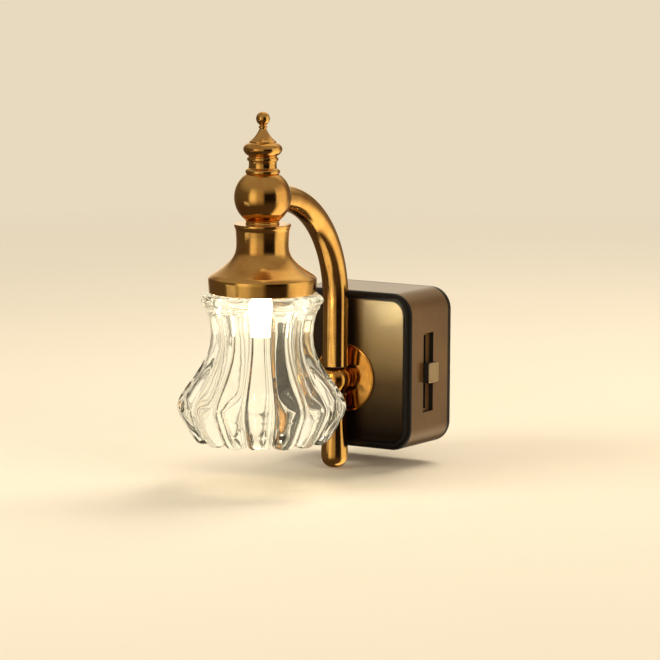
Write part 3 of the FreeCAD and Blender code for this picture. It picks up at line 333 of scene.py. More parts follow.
ROD_LOW, ROD_TOP, CHIP_TOP = 18.0, 37.4, 38.4
clear_crystal = crystal()
rod_glow = glowing("rod_glow", ROD_LOW, ROD_TOP, 12.0, [
    (1.0, 0.90, 0.66), (1.0, 0.86, 0.58), (1.0, 0.92, 0.72), (1.0, 0.97, 0.85)])
chip_glow = glowing("chip_glow", ROD_TOP, CHIP_TOP, 4.0, [(1.0, 0.78, 0.32), (1.0, 0.85, 0.5)])
print("glowing:", rod_glow.name, chip_glow.name)

# %% [markdown]
# ## Patterns on the hidden pieces
# The circuit board, the wound choke and the banded resistor are inside, but they are real pieces of the
# lamp and show when it is taken apart. A board has copper tracks under green mask, so a brick pattern in
# the plane of the board stands for them. A winding has turns, which are waves along its own length. A
# resistor has colour bands, which are steps of a ramp.

# %% Board, winding and bands
def circuit_mask():
    finish = Finish("circuit_mask", Coat_Weight=0.4, Coat_Roughness=0.2)
    upright = finish.node("ShaderNodeMapping", {}, {
        "Vector": finish.place((1.0, 0.0, 1.0)), "Rotation": (math.pi / 2, 0.0, 0.0)})
    tracks = finish.node("ShaderNodeTexBrick", {}, {
        "Vector": upright, "Scale": 0.5, "Mortar Size": 0.055, "Mortar Smooth": 0.2, "Brick Width": 1.9,
        "Row Height": 0.8}, output="Fac")
    grain = finish.noise(finish.place(), 1.2, 2.0)
    mask = finish.ramp(0.75 * tracks + 0.25 * grain, (0.1, (0.012, 0.085, 0.035)), (0.6, (0.05, 0.22, 0.09)))
    return finish.feed(Base_Color=mask, Roughness=0.32 + 0.15 * grain, Normal=finish.bump(tracks, 0.4, 0.03))


def wound_copper():
    finish = Finish("wound_copper", Metallic=1.0, Coat_Weight=0.5)
    turns = finish.node("ShaderNodeTexWave", {"wave_type": "BANDS", "bands_direction": "Y"}, {
        "Vector": finish.place(), "Scale": 0.55, "Distortion": 0.5, "Detail": 1.0}, output="Fac")
    copper = finish.ramp(turns, (0.1, (0.20, 0.06, 0.02)), (0.7, (0.68, 0.30, 0.13)))
    return finish.feed(Base_Color=copper, Roughness=0.38 - 0.1 * turns, Normal=finish.bump(turns, 0.8, 0.15))


def banded(name, body, bands, start, length, half_band=0.35):
    """A small part along X with coloured rings: each band is a distance from its start and a colour."""
    finish = Finish(name, Coat_Weight=0.3)
    stops = [(0.0, body)]
    for distance, colour in bands:
        stops += [((distance - half_band) / length, colour), ((distance + half_band) / length, body)]
    rings = finish.ramp(finish.between("X", start, start + length), *stops, interpolation="CONSTANT")
    speck = finish.noise(finish.place(), 2.0)
    return finish.feed(Base_Color=rings, Roughness=0.3 + 0.2 * speck)


resistor_bands = [(1.6, (0.35, 0.02, 0.02)), (3.2, (0.02, 0.02, 0.02)), (4.8, (0.45, 0.2, 0.02))]
print("patterned:", len(resistor_bands), "resistor bands")

# %% [markdown]
# ## Every solid gets its finish
# The record names a material slot for each solid. One table joins those slots to the finishes, so that a
# solid which isn't remodelled below still leaves this step dressed.

# %% Finish of each slot
slot_finish = {
    "antique_gold": turned_gold,
    "bronze_housing": housing_bronze,
    "dark_panel": panel_mirror,
    "dark_cover": moulded("cover_grain", (0.030, 0.026, 0.022), 0.55, 0.35, 0.03),
    "blade_brass": plain_metal("rolled_brass", (0.80, 0.60, 0.28), 0.22, (0.4, 0.25, 5.0)),
    "steel": plain_metal("zinc_plate", (0.62, 0.62, 0.60), 0.3, (2.0, 2.0, 2.0)),
    "circuit_board": circuit_mask(),
    "capacitor_sleeve": moulded("capacitor_sleeve", (0.020, 0.028, 0.060), 0.3, 0.8, 0.01),
    "ferrite": moulded("sintered_ferrite", (0.055, 0.052, 0.050), 0.6, 0.25, 0.05),
    "copper_winding": wound_copper(),
    "chip_black": moulded("chip_epoxy", (0.022, 0.022, 0.024), 0.6, 0.3, 0.03),
    "resistor_body": banded("banded_resistor", (0.30, 0.46, 0.52), resistor_bands, -17.0, 8.0),
    "spring_bronze": plain_metal("spring_bronze", (0.76, 0.50, 0.28), 0.25, (4.0, 0.3, 0.3)),
    "black_plastic": moulded("carriage_nylon", (0.028, 0.027, 0.026), 0.45),
    "nylon": moulded("washer_nylon", (0.060, 0.036, 0.018), 0.4),
    "lead_jacket": moulded("lead_jacket", (0.66, 0.62, 0.52), 0.5, 0.4, 0.02),
    "white_plastic": moulded("plate_white", (0.84, 0.80, 0.70), 0.3, 0.7, 0.01, 0.05),
    "lamp_board": moulded("solder_mask_white", (0.82, 0.82, 0.79), 0.35, 0.5, 0.01, 0.05),
    "led": chip_glow,
    "spreader_aluminium": plain_metal("milled_aluminium", (0.78, 0.79, 0.80), 0.32, (3.0, 0.3, 0.3)),
    "frosted_rod": rod_glow,
    "clear_shade": clear_crystal,
    "gasket_rubber": moulded("gasket_rubber", (0.58, 0.56, 0.50), 0.6, 0.5, 0.02),
}
for part in frame["record"]["subparts"]:
    solid = frame["nodes"][part["node"]]
    solid.data.materials.clear()
    solid.data.materials.append(slot_finish[part["material_slot"]])

# %% [markdown]
# ## Shaping tools
# Each piece below is shaped with the same few moves, so they are written once: round some edges, slice
# with a plane, press a face in, move the whole. The last two make a shape an object, and an object a
# finished piece: it lies at the origin, rides on its body and stands for its solid.

# %% Shaping tools
TOUCH = 1e-6


def everything(shape):
    return shape.verts[:] + shape.edges[:] + shape.faces[:]


def only(items, kind):
    return [item for item in items if isinstance(item, kind)]


def rounded(shape, geom, size, segments, affect="EDGES"):
    """Rounds edges, or the corners of an outline, by a size in millimetres."""
    bmesh.ops.bevel(shape, geom=geom, offset=size * MM, offset_type="OFFSET", segments=segments, profile=0.5,
                    affect=affect, material=-1)


def sliced(shape, geom, place, normal, clear=False):
    """Cuts what it is given with a plane and gives the cut's edges; clear drops what lies beyond it."""
    cut = bmesh.ops.bisect_plane(shape, geom=geom, dist=TOUCH, plane_co=Vector(place) * MM, plane_no=normal,
                                 clear_outer=clear)
    return only(cut["geom_cut"], bmesh.types.BMEdge)


def pressed(shape, faces, vector):
    """Pushes a region of faces in by a vector in millimetres, and leaves new sides round it."""
    made = bmesh.ops.extrude_face_region(shape, geom=faces)["geom"]
    bmesh.ops.delete(shape, geom=faces, context="FACES")
    bmesh.ops.translate(shape, vec=Vector(vector) * MM, verts=only(made, bmesh.types.BMVert))


def moved(shape, x=0.0, y=0.0, z=0.0, turn=None):
    """Turns a shape about the origin, then moves it by millimetres."""
    if turn is not None:
        bmesh.ops.transform(shape, matrix=turn, verts=shape.verts[:])
    bmesh.ops.translate(shape, vec=Vector((x, y, z)) * MM, verts=shape.verts[:])
    return shape


def as_object(shape, name, *finishes):
    mesh = bpy.data.meshes.new(name)
    shape.to_mesh(mesh)
    shape.free()
    for finish in finishes:
        mesh.materials.append(finish)
    return linked(name, mesh)


def keep(shape, name, body, solid, slot, *finishes, sharp=38.0):
    """Makes a shape a finished piece that rides on a body and stands for a solid."""
    piece = as_object(shape, name, *finishes)
    piece.data.shade_smooth()
    piece.data.set_sharp_from_angle(angle=math.radians(sharp))
    piece.modifiers.new("even_shading", "WEIGHTED_NORMAL").keep_sharp = True
    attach(piece, body)
    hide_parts(solid)
    print(f"{name}: {len(piece.data.polygons)} faces, {round(max(piece.dimensions) / MM, 1)} mm long")


print("shaping tools ready, to", TOUCH / MM, "mm")

# %% [markdown]
# ## Turning a piece
# The ball, cap, finial, rosette and drop are lathe work. A turned piece is one outline and one sweep, so
# that is how it is made here: a few points, each corner rounded with a vertex bevel, then a full spin.
# Rounded corners matter more than fine curves, because polished metal shows each edge as a bright line.

# %% Lathe
ROUND_STEPS = 112


def turned(points, closed=False, steps=ROUND_STEPS):
    """A body of revolution about Z from points: radius, height and the rounding of the corner there."""
    shape = bmesh.new()
    corners = [shape.verts.new((radius * MM, 0.0, height * MM)) for radius, height, _ in points]
    for first, second in zip(corners, corners[1:] + (corners[:1] if closed else [])):
        shape.edges.new((first, second))
    for corner, (_, _, rounding) in zip(corners, points):
        if rounding:
            rounded(shape, [corner], rounding, 6, "VERTICES")
    bmesh.ops.spin(shape, geom=everything(shape), cent=(0, 0, 0), axis=(0, 0, 1), dvec=(0, 0, 0),
                   angle=math.tau, steps=steps, use_merge=True)
    bmesh.ops.remove_doubles(shape, verts=shape.verts[:], dist=TOUCH)
    bmesh.ops.recalc_face_normals(shape, faces=shape.faces[:])
    return shape


print("lathe ready:", ROUND_STEPS, "steps a turn")

# %% [markdown]
# ## The turned ball
# The ball holds the arm, the cap and the finial together. It is a sphere with a flat above and below,
# so a sphere is cut by two planes and the holes are filled. The two rims get a small bevel, as a lathe
# tool leaves. The ball boss is made with the same function further down.

# %% Lamp ball
ARM_Y, LAMP_Y = -37.4, -86.0
BALL_Z, BALL_RADIUS, BALL_SEAT = 66.7, 10.05, 6.0
ball_flat = math.sqrt(BALL_RADIUS ** 2 - BALL_SEAT ** 2)


def flatted_ball(radius, flat, around, up):
    """A ball with a flat at the same height above and below its middle."""
    shape = bmesh.new()
    bmesh.ops.create_uvsphere(shape, u_segments=around, v_segments=up, radius=radius * MM)
    for side in (1, -1):
        rim = sliced(shape, everything(shape), (0, 0, side * flat), (0, 0, side), clear=True)
        bmesh.ops.holes_fill(shape, edges=rim, sides=0)
        rounded(shape, rim, 0.25, 3)
    return shape


ball = flatted_ball(BALL_RADIUS, ball_flat, ROUND_STEPS, 64)
keep(moved(ball, 0, LAMP_Y, BALL_Z), "turned_ball", "arm", "lamp_ball", "antique_gold", turned_gold)

# %% [markdown]
# ## Neck ring and finial
# Below the ball a thin ring shows as a dark red-gold line. Above it the finial is cut from one bar:
# foot, hollow neck, ring, full bulb, a hollow cone, a small collar and a ball at the tip. The hollows
# between the swellings are what make it look turned, so each of them has a point of its own.

# %% Neck ring and finial
RING_HEIGHT, TIP_RADIUS, TIP_Z = 1.3, 2.43, 19.35
ring_low = BALL_Z - ball_flat - RING_HEIGHT
ring_outline = [(3.0, 0, 0), (6.1, 0, 0.2), (5.7, RING_HEIGHT / 2, 0.3), (6.1, RING_HEIGHT, 0.2),
                (3.0, RING_HEIGHT, 0)]
keep(moved(turned(ring_outline, True), 0, LAMP_Y, ring_low), "collar_ring", "arm", "neck_ring",
     "antique_gold", turned_gold)
tip_ball = [(TIP_RADIUS * math.cos(math.radians(a)), TIP_Z + TIP_RADIUS * math.sin(math.radians(a)), 0)
            for a in range(-60, 90, 10)]
finial_outline = [
    (0, 0, 0), (5.7, 0, 0), (6.1, 0.5, 0.25), (6.1, 1.35, 0.3), (5.5, 1.9, 0.25), (5.05, 2.1, 0.15),
    (4.85, 3.15, 0.6), (5.0, 4.6, 0.15), (5.45, 4.75, 0.15), (5.55, 5.3, 0.3), (5.45, 5.85, 0.15),
    (5.05, 6.0, 0.1), (5.05, 6.4, 0.12), (5.9, 6.85, 0.3), (6.75, 7.9, 0.6), (6.95, 8.9, 0.5),
    (6.5, 10.0, 0.6), (5.4, 10.8, 0.3), (4.75, 11.05, 0.1), (4.75, 11.45, 0.15), (4.2, 11.85, 0.3),
    (2.9, 13.0, 0.6), (1.9, 14.4, 0.7), (1.15, 15.95, 0.2), (1.5, 16.2, 0.12), (1.5, 16.6, 0.12),
    (1.15, 16.85, 0.08)] + tip_ball + [(0, TIP_Z + TIP_RADIUS, 0)]
keep(moved(turned(finial_outline), 0, LAMP_Y, BALL_Z + ball_flat), "turned_finial", "arm", "finial",
     "antique_gold", turned_gold)

# %% [markdown]
# ## Bell cap
# The cap is a spun shell: a lip, a waist, a wide flare and a band whose lower edge draws in a little.
# The outline goes down the outside and back up the inside, so the shell has its real thickness.

# %% Bell cap
cap_outline = [
    (3.0, 0, 0), (10.0, 0, 0.25), (10.0, -0.95, 0.35), (9.5, -1.8, 0.7), (9.2, -5.4, 1.6), (9.25, -9.0, 1.2),
    (10.2, -11.6, 1.5), (12.6, -14.2, 1.6), (15.6, -16.4, 1.6), (18.3, -18.1, 0.9), (19.1, -19.0, 0.55),
    (19.1, -19.9, 0.4), (18.75, -24.1, 0.25), (17.95, -24.1, 0.15), (17.9, -20.0, 0.8), (14.0, -17.0, 1.2),
    (9.4, -13.0, 1.2), (8.0, -9.0, 1.0), (8.0, -2.4, 0.6), (3.0, -2.4, 0)]
keep(moved(turned(cap_outline, True), 0, LAMP_Y, ring_low), "spun_cap", "arm", "bell_cap",
     "antique_gold", turned_gold)

# %% [markdown]
# ## The crook arm
# The arm is one bent tube. A ring of points is pulled up the bar, spun round the bend's centre and pulled
# on into the ball: extrude, spin, extrude, which is also how a tube bender thinks. The bore follows from
# a second, smaller ring that takes the same way, and the two are joined at the ends.

# %% Arm tube
BEND_RADIUS, BEND_ANGLE = 40.0, math.radians(84.0)
TUBE_RADIUS, BORE_RADIUS = 4.68, 2.45
BAR_LOW, BAR_STEPS, INTO_BALL = 1.84, 8, 7.1
reach = ARM_Y - LAMP_Y
last_run = (reach - BEND_RADIUS * (1 - math.cos(BEND_ANGLE))) / math.sin(BEND_ANGLE)
bar_top = BALL_Z - BEND_RADIUS * math.sin(BEND_ANGLE) - last_run * math.cos(BEND_ANGLE)


def pulled(shape, edges, vector):
    """Extrudes a ring of edges by a vector in millimetres and gives the new ring."""
    made = bmesh.ops.extrude_edge_only(shape, edges=edges)["geom"]
    verts = only(made, bmesh.types.BMVert)
    bmesh.ops.translate(shape, vec=Vector(vector) * MM, verts=verts)
    return [edge for edge in only(made, bmesh.types.BMEdge) if all(vert in verts for vert in edge.verts)]


def bent_tube(shape, radius):
    """A tube of one radius along the arm's line, and its two end rings."""
    made = bmesh.ops.create_circle(shape, segments=64, radius=radius * MM)["verts"]
    bmesh.ops.translate(shape, vec=Vector((0, ARM_Y, BAR_LOW)) * MM, verts=made)
    first = ring = list({edge for vert in made for edge in vert.link_edges})
    for _ in range(BAR_STEPS):
        ring = pulled(shape, ring, (0, 0, (bar_top - BAR_LOW) / BAR_STEPS))
    verts = list({vert for edge in ring for vert in edge.verts})
    swept = bmesh.ops.spin(shape, geom=verts + ring, cent=Vector((0, ARM_Y - BEND_RADIUS, bar_top)) * MM,
                           axis=(1, 0, 0), dvec=(0, 0, 0), angle=BEND_ANGLE, steps=48, use_merge=False)
    run = last_run - INTO_BALL
    return first, pulled(shape, only(swept["geom_last"], bmesh.types.BMEdge),
                         (0, -run * math.sin(BEND_ANGLE), run * math.cos(BEND_ANGLE)))


arm = bmesh.new()
for outer_ring, inner_ring in zip(bent_tube(arm, TUBE_RADIUS), bent_tube(arm, BORE_RADIUS)):
    bmesh.ops.bridge_loops(arm, edges=outer_ring + inner_ring)
bmesh.ops.recalc_face_normals(arm, faces=arm.faces[:])
keep(arm, "crook_arm", "arm", "arm_tube", "antique_gold", drawn_gold)

# %% [markdown]
# ## The drop
# Below the boss the arm ends in a drop, slim at its waist and full at its end. Its outline hangs down from
# zero, which is the flat under the lower swivel washer.

# %% Drop
BOSS_Z, BOSS_RADIUS, BOSS_FLAT, WASHER = -3.2, 5.35, 4.59, 0.45
drop_outline = [
    (0, -27.1, 0), (1.9, -26.95, 0.8), (3.7, -26.0, 1.2), (4.8, -24.2, 1.2), (4.98, -21.9, 1.6),
    (4.7, -17.5, 2.0), (4.2, -12.0, 2.0), (4.0, -7.0, 1.5), (4.0, -3.0, 1.5), (4.1, -1.2, 0.6),
    (4.3, -0.7, 0.2), (4.3, 0.0, 0.15), (0, 0, 0)]
keep(moved(turned(drop_outline), 0, ARM_Y, BOSS_Z - BOSS_FLAT - WASHER), "turned_drop", "arm", "tail_drop",
     "antique_gold", turned_gold)

# %% [markdown]
# ## Ball boss and rosette
# The boss is a ball with two flats on which nylon washers run, and a short neck that carries it. The
# rosette is a shallow dome with a sharp outer rim. Neck and rosette are turned about the line from front
# to back, so both are made about Z, tipped forward and set against the panel.

# %% Ball boss and rosette
TIPPED_FORWARD = Matrix.Rotation(math.radians(90.0), 4, "X")
NECK_Y, NECK_LENGTH, PANEL_Y = -32.05, 3.0, -30.4
boss = moved(flatted_ball(BOSS_RADIUS, BOSS_FLAT, 96, 48), 0, ARM_Y, BOSS_Z)
neck = turned([(0, 0, 0), (3.1, 0, 0), (2.8, 0.5, 0.2), (2.8, NECK_LENGTH, 0), (0, NECK_LENGTH, 0)])
neck_mesh = bpy.data.meshes.new("neck")
moved(neck, 0, NECK_Y, BOSS_Z, TIPPED_FORWARD).to_mesh(neck_mesh)
neck.free()
boss.from_mesh(neck_mesh)
bpy.data.meshes.remove(neck_mesh)
keep(boss, "boss_ball", "housing", "ball_boss", "antique_gold", faced_gold)
rosette_outline = [
    (1.9, 0, 0), (12.4, 0, 0.1), (12.4, 0.55, 0.2), (11.95, 0.8, 0.15), (11.7, 0.72, 0.1), (10.5, 0.92, 0.8),
    (8.0, 1.25, 1.0), (5.6, 1.48, 0.8), (4.4, 1.52, 0.1), (4.1, 1.6, 0.1), (1.9, 1.6, 0)]
keep(moved(turned(rosette_outline, True), 0, PANEL_Y, BOSS_Z, TIPPED_FORWARD), "polished_rosette", "housing",
     "rosette", "antique_gold", faced_gold)

# %% [markdown]
# ## The fluted shade
# The shade is one pressed piece of crystal: sixteen round columns that meet in sharp valleys. It swells to
# a belly, draws in to the mouth, and each column ends in a rounded tip. One column is enough work for a
# sheet of points: the sheet's rows follow the glass from the collar down the outside, round the tip and
# back up the inside, and its columns run from valley to valley. A spin that copies then sets sixteen of
# them in a ring, and merging the valleys closes the glass.

# %% One flute of the shade
FLUTES, ACROSS = 16, 14
SHADE_TOP = 32.94
# (depth below the top, radius at the crest, valley depth, how far the tip is scalloped up at its valley)
outside_rows = [
    (-4, 17.2, 0, 0), (-0.2, 17.2, 0, 0), (0, 19.3, 0.3, 0), (0.5, 20.4, 0.55, 0), (1.3, 21.2, 0.8, 0),
    (2.3, 21.6, 0.9, 0), (3.1, 21.3, 0.85, 0), (3.7, 20.6, 0.7, 0), (4.1, 20.3, 0.7, 0),
    (4.6, 20.35, 0.8, 0), (5.2, 20.1, 0.9, 0), (6.1, 19.4, 1, 0), (7.9, 18.8, 1.1, 0),
    (10.9, 18.15, 1.15, 0), (14.6, 17.86, 1.2, 0), (18.3, 18.29, 1.25, 0), (22, 19.46, 1.35, 0),
    (25.7, 21.43, 1.5, 0), (29.5, 23.9, 1.65, 0), (33.1, 26.57, 1.85, 0), (36.1, 28.53, 2, 0),
    (38.2, 29.45, 2.1, 0), (39.6, 29.75, 2.15, 0.05), (40.9, 29.6, 2.15, 0.1), (42.5, 28.95, 2.1, 0.2),
    (44.7, 27.75, 2.05, 0.4), (47, 26.5, 2, 0.7), (49.1, 25.35, 2, 1.1), (50.7, 24.45, 2, 1.45),
    (51.7, 23.75, 1.9, 1.7), (52.2, 22.95, 1.6, 1.85), (52.2, 22.05, 1.2, 1.9)]
inside_rows = [
    (52, 21.15, 0.7, 1.75), (51.4, 20.65, 0.3, 1.4), (49.8, 20.65, 0, 0.5), (47, 21.85, 0, 0.15),
    (44.3, 23.15, 0, 0), (41.5, 24.65, 0, 0), (40, 25.05, 0, 0), (37.6, 24.75, 0, 0), (33.6, 22.58, 0, 0),
    (29.5, 19.8, 0, 0), (25.1, 17.02, 0, 0), (20.9, 15.04, 0, 0), (16.8, 14.06, 0, 0), (11.9, 13.9, 0, 0),
    (6.9, 14.5, 0, 0), (2, 14.6, 0, 0), (-4, 14.6, 0, 0)]


def flute(rows):
    """One column of the shade as a sleeve of rows, from valley to valley."""
    shape = bmesh.new()
    last = len(rows) - 1
    bmesh.ops.create_grid(shape, x_segments=ACROSS, y_segments=last, size=1.0)
    for vert in shape.verts:
        share = vert.co.x
        depth, radius, valley, scallop = rows[round((vert.co.y + 1) / 2 * last)]
        lift = 1 - math.sqrt(max(0.0, 1 - share * share))
        out = (radius - valley * (0.75 * lift + 0.25 * share * share)) * MM
        angle = share * math.pi / FLUTES
        vert.co = (out * math.sin(angle), -out * math.cos(angle), (SHADE_TOP - depth + scallop * lift) * MM)
    return shape


shade = flute(outside_rows + inside_rows)
print("one flute:", len(shade.verts), "points in", len(outside_rows + inside_rows), "rows")

# %% [markdown]
# The flute is copied round the ring by a spin that keeps its copies apart. Merging points that fall
# together closes every valley, and a bridge closes the ring of glass at the collar. The whole is turned a
# little, because on the real lamp no valley points straight ahead.

# %% Shade from sixteen flutes
SHADE_TURN = Matrix.Rotation(math.radians(8.6), 4, "Z")
bmesh.ops.spin(shade, geom=everything(shade), cent=(0, 0, 0), axis=(0, 0, 1), dvec=(0, 0, 0),
               angle=math.tau * (FLUTES - 1) / FLUTES, steps=FLUTES - 1, use_duplicate=True, use_merge=False)
bmesh.ops.remove_doubles(shade, verts=shade.verts[:], dist=2 * TOUCH)
bmesh.ops.bridge_loops(shade, edges=[edge for edge in shade.edges if edge.is_boundary])
bmesh.ops.recalc_face_normals(shade, faces=shade.faces[:])
print("open edges of the shade:", sum(edge.is_boundary for edge in shade.edges))
keep(moved(shade, 0, LAMP_Y, 0, SHADE_TURN), "crystal_shade", "arm", "fluted_shade", "clear_shade",
     clear_crystal, sharp=180.0)

# %% [markdown]
# ## Light rod
# The rod is a frosted cylinder with a slightly domed lower end. A short chamfer at the rim catches the
# light as a bright ring.

# %% Light rod
rod_outline = [(0, 17.95, 0), (2.2, 18.1, 0.6), (3.6, 18.5, 0.4), (4.0, 19.1, 0.3), (4.0, 26.0, 0),
               (4.0, 33.0, 0), (4.0, 37.44, 0.2), (0, 37.44, 0)]
keep(moved(turned(rod_outline, steps=64), 0, LAMP_Y, 0), "frosted_rod", "arm", "light_rod", "frosted_rod",
     rod_glow)

# %% [markdown]
# ## The housing
# The housing starts as a block. Its four long edges are bevelled into the 8 mm corners, and its front and
# back rims into soft roundings. The back is inset and pressed in to make the hollow, and the front to
# make the panel's seat. The front rim and a band along the back edge are black, so one plane marks that
# band off.

# %% Housing block
WIDTH, HEIGHT, DEPTH, CORNER = 54.0, 57.0, 30.4, 8.0
FRONT_ROUND, BACK_ROUND, BACK_BAND = 1.9, 1.8, 3.4
BRONZE, BLACK, PAINTED_SHADE = range(3)


def all_at(edge, axis, level):
    return all(abs(vert.co[axis] - level * MM) < TOUCH for vert in edge.verts)


def running(shape, axis):
    """Edges that run from one side of a block to the other along an axis."""
    return [edge for edge in shape.edges if abs(edge.verts[0].co[axis] - edge.verts[1].co[axis]) > TOUCH]


def facing(shape, axis, side, level):
    """Faces that look along an axis at a level in millimetres."""
    return [face for face in shape.faces if face.normal[axis] * side > 0.99
            and abs(face.calc_center_median()[axis] - level * MM) < TOUCH]


def block(x, y, z):
    shape = bmesh.new()
    bmesh.ops.create_cube(shape, size=1.0, matrix=Matrix.Diagonal((x * MM, y * MM, z * MM, 1)))
    return shape


def rounded_block(width, depth, height, corner, front):
    """A block with rounded long edges and a rounded front rim, whose front is at the housing's front."""
    shape = block(width, depth, height)
    rounded(shape, running(shape, 1), corner, 12)
    rounded(shape, [edge for edge in shape.edges if all_at(edge, 1, -depth / 2)], front, 5)
    return moved(shape, 0, depth / 2 - DEPTH, 0)


housing = rounded_block(WIDTH, DEPTH, HEIGHT, CORNER, FRONT_ROUND)
rounded(housing, [edge for edge in housing.edges if all_at(edge, 1, 0.0)], BACK_ROUND, 5)
sliced(housing, everything(housing), (0, -BACK_BAND, 0), (0, 1, 0))
for face in housing.faces:
    if face.calc_center_median().y > -BACK_BAND * MM:
        face.material_index = BLACK
# (level of the flat along Y, the way it looks, the rim left round it, how far it is pressed along Y)
for level, side, rim, press in ((0.0, 1, 0.6, -28.0), (-DEPTH, -1, 0.7, 0.85)):
    flat = facing(housing, 1, side, level)
    bmesh.ops.inset_region(housing, faces=flat, thickness=rim * MM, use_even_offset=True)
    pressed(housing, flat, (0, press, 0))
for face in housing.faces:
    if face.calc_center_median().y < (FRONT_ROUND - DEPTH) * MM + TOUCH:
        face.material_index = BLACK
black_faces = sum(face.material_index == BLACK for face in housing.faces)
print("housing block:", len(housing.faces), "faces,", black_faces, "black")

# %% [markdown]
# The recess is a stepped slot: a shallow seat on which the knob runs, and a narrow slit through which its
# lever passes. The sides of both steps and the floor of the slit are painted black as the shade in them.
# Four planes mark each rectangle out on the right side, and the marked face is pressed in.

# %% Slider recess
SLIDER_Y, SLIDER_Z = -17.1, -0.8
SEAT_DEPTH, SLIT_DEPTH = 1.7, 0.6


def sunk(shape, width, height, level, depth, floor_finish):
    """Presses a rectangle into the right side from a level; the sides of the hole are painted black as shade.
    """
    low_y, high_y = SLIDER_Y - width / 2, SLIDER_Y + width / 2
    low_z, high_z = SLIDER_Z - height / 2, SLIDER_Z + height / 2
    for place, normal in (((0, low_y, 0), (0, 1, 0)), ((0, high_y, 0), (0, 1, 0)),
                          ((0, 0, low_z), (0, 0, 1)), ((0, 0, high_z), (0, 0, 1))):
        side = facing(shape, 0, 1, level)
        edges, verts = {e for f in side for e in f.edges}, {v for f in side for v in f.verts}
        sliced(shape, side + list(edges) + list(verts), place, normal)
    marked = [face for face in facing(shape, 0, 1, level)
              if low_y * MM < face.calc_center_median().y < high_y * MM
              and low_z * MM < face.calc_center_median().z < high_z * MM]
    before = set(shape.faces)
    pressed(shape, marked, (-depth, 0, 0))
    for face in shape.faces:
        if face not in before:
            face.normal_update()
            # New sides get painted shade in black; the floor gets the finish it is given, which is painted
            # shade for the slit.
            face.material_index = floor_finish if face.normal.x > 0.9 else PAINTED_SHADE


sunk(housing, width=7.0, height=28.7, level=WIDTH / 2, depth=SEAT_DEPTH, floor_finish=BRONZE)
sunk(housing, width=1.9, height=26.7, level=WIDTH / 2 - SEAT_DEPTH, depth=SLIT_DEPTH, floor_finish=PAINTED_SHADE)
keep(housing, "lacquered_housing", "housing", "housing_shell", "bronze_housing", housing_bronze,
     housing_black, painted_shade_black, sharp=32.0)

# %% [markdown]
# ## Front panel and slider knob
# The panel is a slim glossy plate set into the front with a hairline gap. The knob is a small block with
# soft corners: its face is brown, and its sides are painted black as shade, like the slot.

# %% Front panel
panel = rounded_block(width=48.6, depth=0.9, height=51.6, corner=5.3, front=0.3)
keep(panel, "gloss_panel", "housing", "front_panel", "dark_panel", panel_mirror, sharp=32.0)

# %% Slider knob
KNOB_X, KNOB_WIDTH = 28.34, 2.4
knob = block(KNOB_WIDTH, 7.0, 7.3)
rounded(knob, running(knob, 0), 0.8, 5)
rounded(knob, [edge for edge in knob.edges if all_at(edge, 0, KNOB_WIDTH / 2)], 0.45, 4)
# Every face that doesn't look out along X gets black as painted shade.
for face in knob.faces:
    face.material_index = int(face.normal.x < 0.3)
keep(moved(knob, KNOB_X, SLIDER_Y, SLIDER_Z), "slider_button", "slider", "slider_knob", "bronze_housing",
     knob_brown, painted_shade_black, sharp=32.0)

# %% [markdown]
# ## The floor
# The lamp hangs just above a plain pale floor and keeps its soft shadow there. Far from the lamp the floor
# fades into the backdrop's own colour, for the camera alone, so that no horizon shows. Mirrors and glass
# don't see the floor at all: what they see is made further down.

# %% Floor
FLOOR_Z, FADE_LENGTH = -35.45, 3000.0
BACKDROP = (0.81, 0.70, 0.52, 1.0)
floor_finish = Finish("pale_floor", Roughness=0.9, Specular_IOR_Level=0.1)
cloudy = floor_finish.noise(floor_finish.place(), 0.004, 2.0)
floor_finish.feed(Base_Color=floor_finish.ramp(
    cloudy, (0.3, (0.80, 0.72, 0.58)), (0.7, (0.84, 0.76, 0.62))))
away = floor_finish.node("ShaderNodeVectorMath", {"operation": "LENGTH"}, {0: floor_finish.place()}, "Value")
far = floor_finish.ramp(away * (1.0 / FADE_LENGTH), (0.03, (0.0, 0.0, 0.0)), (0.30, (1.0, 1.0, 1.0)))
faded = far * floor_finish.node("ShaderNodeLightPath", output="Is Camera Ray")
backdrop = floor_finish.node("ShaderNodeEmission", {}, {"Color": BACKDROP})
floor_finish.show(floor_finish.node("ShaderNodeMixShader", {}, {
    0: faded, 1: Wire(floor_finish, floor_finish.shader.outputs[0]), 2: backdrop}), "Material Output")
floor_shape = bmesh.new()
bmesh.ops.create_grid(floor_shape, x_segments=1, y_segments=1, size=12.0)
floor = as_object(moved(floor_shape, 0, 0, FLOOR_Z), "floor", floor_finish.material)
floor.visible_glossy = floor.visible_transmission = False
print("floor at", FLOOR_Z, "mm")

# %% [markdown]
# ## What the metal mirrors
# Polished metal is only as good as what it mirrors. A product studio stands dark flags between its pale
# screens for that, and so does this surround: what mirrors see runs from brown to pale to black to pale
# round the lamp, under an even ceiling and over a dark ground with one pale stretch. Each is a ramp over
# the direction's angle, and two ramps over its height pass from one to the next.

